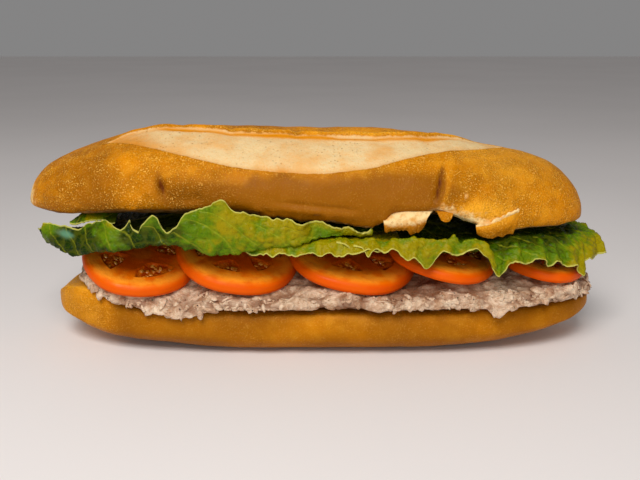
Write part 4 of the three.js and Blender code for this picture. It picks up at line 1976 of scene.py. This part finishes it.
        return Leaf(
            "lettuce_right", ["lettuce_leaf_right"], (edge, ridge, trough, near, rib, back, far_edge),
            (0, 0.09, 0.17, 0.28, 0.52, 0.83, 1),
            (
                # The +X end is lightened as painted light, against the shade under the roll.
                (0, 1.4), (0.08, 1.2), (0.16, 0.55), (0.28, 0.12), (0.4, 0.3), (0.5, 0.6), (0.6, 0.75),
                (0.75, 0.8), (1, 0.8),
            ),
            ((0, 0.4), (0.06, 0.1), (0.13, -0.15), (0.22, -0.6), (1, -0.4)),
            ruffle=2.0, wave=5, quilt=0.9, quilt_cell=4.6, seed=7,
        )

    def inner(self) -> Leaf:
        """Short pale leaf, whose ribbed margin shows between the other two.

        Returns:
            The leaf.
        """
        edge = (
            (-45, -41, 56.5), (-38, -43.5, 56), (-31, -44.6, 54.8), (-24, -45.2, 54.2),
            (-17, -45.6, 55), (-10, -45.6, 54.2), (-3, -45.4, 54.8), (4, -45.6, 54), (11.9, -45.2, 55),
            (20, -44.6, 56.5), (28, -43.6, 57), (39, -41, 57),
        )
        shoulder = (
            (-45, -36, 58.6), (-31, -40, 59.4), (-10, -41.5, 59.6), (12, -41, 59.6), (39, -37, 58.8),
        )
        near = ((-46, -22, 58.6), (-20, -24, 58.6), (10, -24, 58.4), (39, -22, 58.2))
        rib = ((-46.5, 0, 58.4), (-10, 0, 58.2), (39, 0, 58))
        back = ((-46, 26, 58.2), (-10, 30, 58), (39, 26, 57.8))
        far_edge = (
            (-45, 39, 55.5), (-30, 42, 53.5), (-14, 43.6, 56), (2, 44, 53), (18, 43, 55.5),
            (38, 38, 55),
        )
        return Leaf(
            "lettuce_inner", ["lettuce_leaf_inner"], (edge, shoulder, near, rib, back, far_edge),
            (0, 0.1, 0.28, 0.5, 0.82, 1), ((0, 0.85), (1, 0.95)), ((0, 0.1), (0.2, 0), (1, 0)),
            along=180, across=110, ruffle=1.2, wave=4.6, quilt=0.6, vein_lean=0.15, seed=11,
        )


# ------------------------------------------------------------------------------ stage


@dataclass(frozen=True)
class Stage:
    """Pale floor, soft lights and the camera, which looks down at the open front."""

    floor_colour: Tint = (238, 232, 230)
    floor_shade: Tint = (234, 228, 226)
    floor_size: float = 8.0
    target: tuple[float, float, float] = (0.0, 0.0, 0.05)
    distance: float = 0.425
    elevation: float = 15.0
    lens: float = 45.0

    def build(self) -> None:
        """Sets up everything round the sandwich."""
        self.floor()
        self.camera()
        self.light("key", (-0.15, -0.66, 0.8), 0.5, 9.0, (1.0, 0.985, 0.96))
        self.light("front", (0.15, -4.5, 1.4), 1.8, 37.8, (1.0, 0.985, 0.97))
        world = bpy.data.worlds.new("room")
        world.use_nodes = True
        background = world.node_tree.nodes["Background"]
        background.inputs["Color"].default_value = (0.93, 0.92, 0.92, 1)
        background.inputs["Strength"].default_value = 0.25
        bpy.context.scene.world = world
        bpy.context.scene.view_settings.view_transform = "Standard"

    def floor(self) -> None:
        """Adds the floor."""
        bpy.ops.object.select_all(action="DESELECT")
        bpy.ops.mesh.primitive_plane_add(size=self.floor_size, location=(0, 0, 0))
        plane = bpy.context.active_object
        plane.name = "floor"
        g = Graph("floor")
        tint = g.blend(g.span(g.clouds(400, 2), 0.3, 0.7), self.floor_colour, self.floor_shade)
        plane.data.materials.append(g.finish(tint, 0.6))
        plane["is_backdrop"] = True

    def camera(self) -> None:
        """Adds the camera."""
        data = bpy.data.cameras.new("view")
        data.lens = self.lens
        data.clip_start = 0.01
        camera = bpy.data.objects.new("view", data)
        bpy.context.scene.collection.objects.link(camera)
        lean = math.radians(self.elevation)
        target = Vector(self.target)
        camera.location = target + self.distance * Vector((0, -math.cos(lean), math.sin(lean)))
        camera.rotation_euler = (target - camera.location).to_track_quat("-Z", "Y").to_euler()
        bpy.context.scene.camera = camera

    def light(
        self, name: str, place: Sequence[float], size: float, power: float, tint: Sequence[float]
    ) -> None:
        """Adds a square lamp aimed at the sandwich.

        Args:
            name: Name of the lamp.
            place: Where it hangs, in metres.
            size: Length of its side, in metres.
            power: Its power in watts.
            tint: Its colour.
        """
        data = bpy.data.lights.new(name, "AREA")
        data.size, data.energy, data.color = size, power, tint
        lamp = bpy.data.objects.new(name, data)
        bpy.context.scene.collection.objects.link(lamp)
        lamp.location = place
        lamp.rotation_euler = (Vector(self.target) - lamp.location).to_track_quat("-Z", "Y").to_euler()


def main() -> None:
    """Builds the sandwich from the table up, then its surroundings."""
    logging.basicConfig(level=logging.INFO, format="%(name)s: %(message)s")
    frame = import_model()
    crust = CrustFinish().material("crust")
    LowerRoll().build(frame, crust)
    Salad().build(frame, SaladFinish().material("salad"))
    Tomatoes().build(frame)
    Lettuce().build()
    UpperRoll().build(frame, crust)
    TornEdge().build(crust)
    Stage().build()
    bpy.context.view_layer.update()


if __name__ == "__main__":
    main()
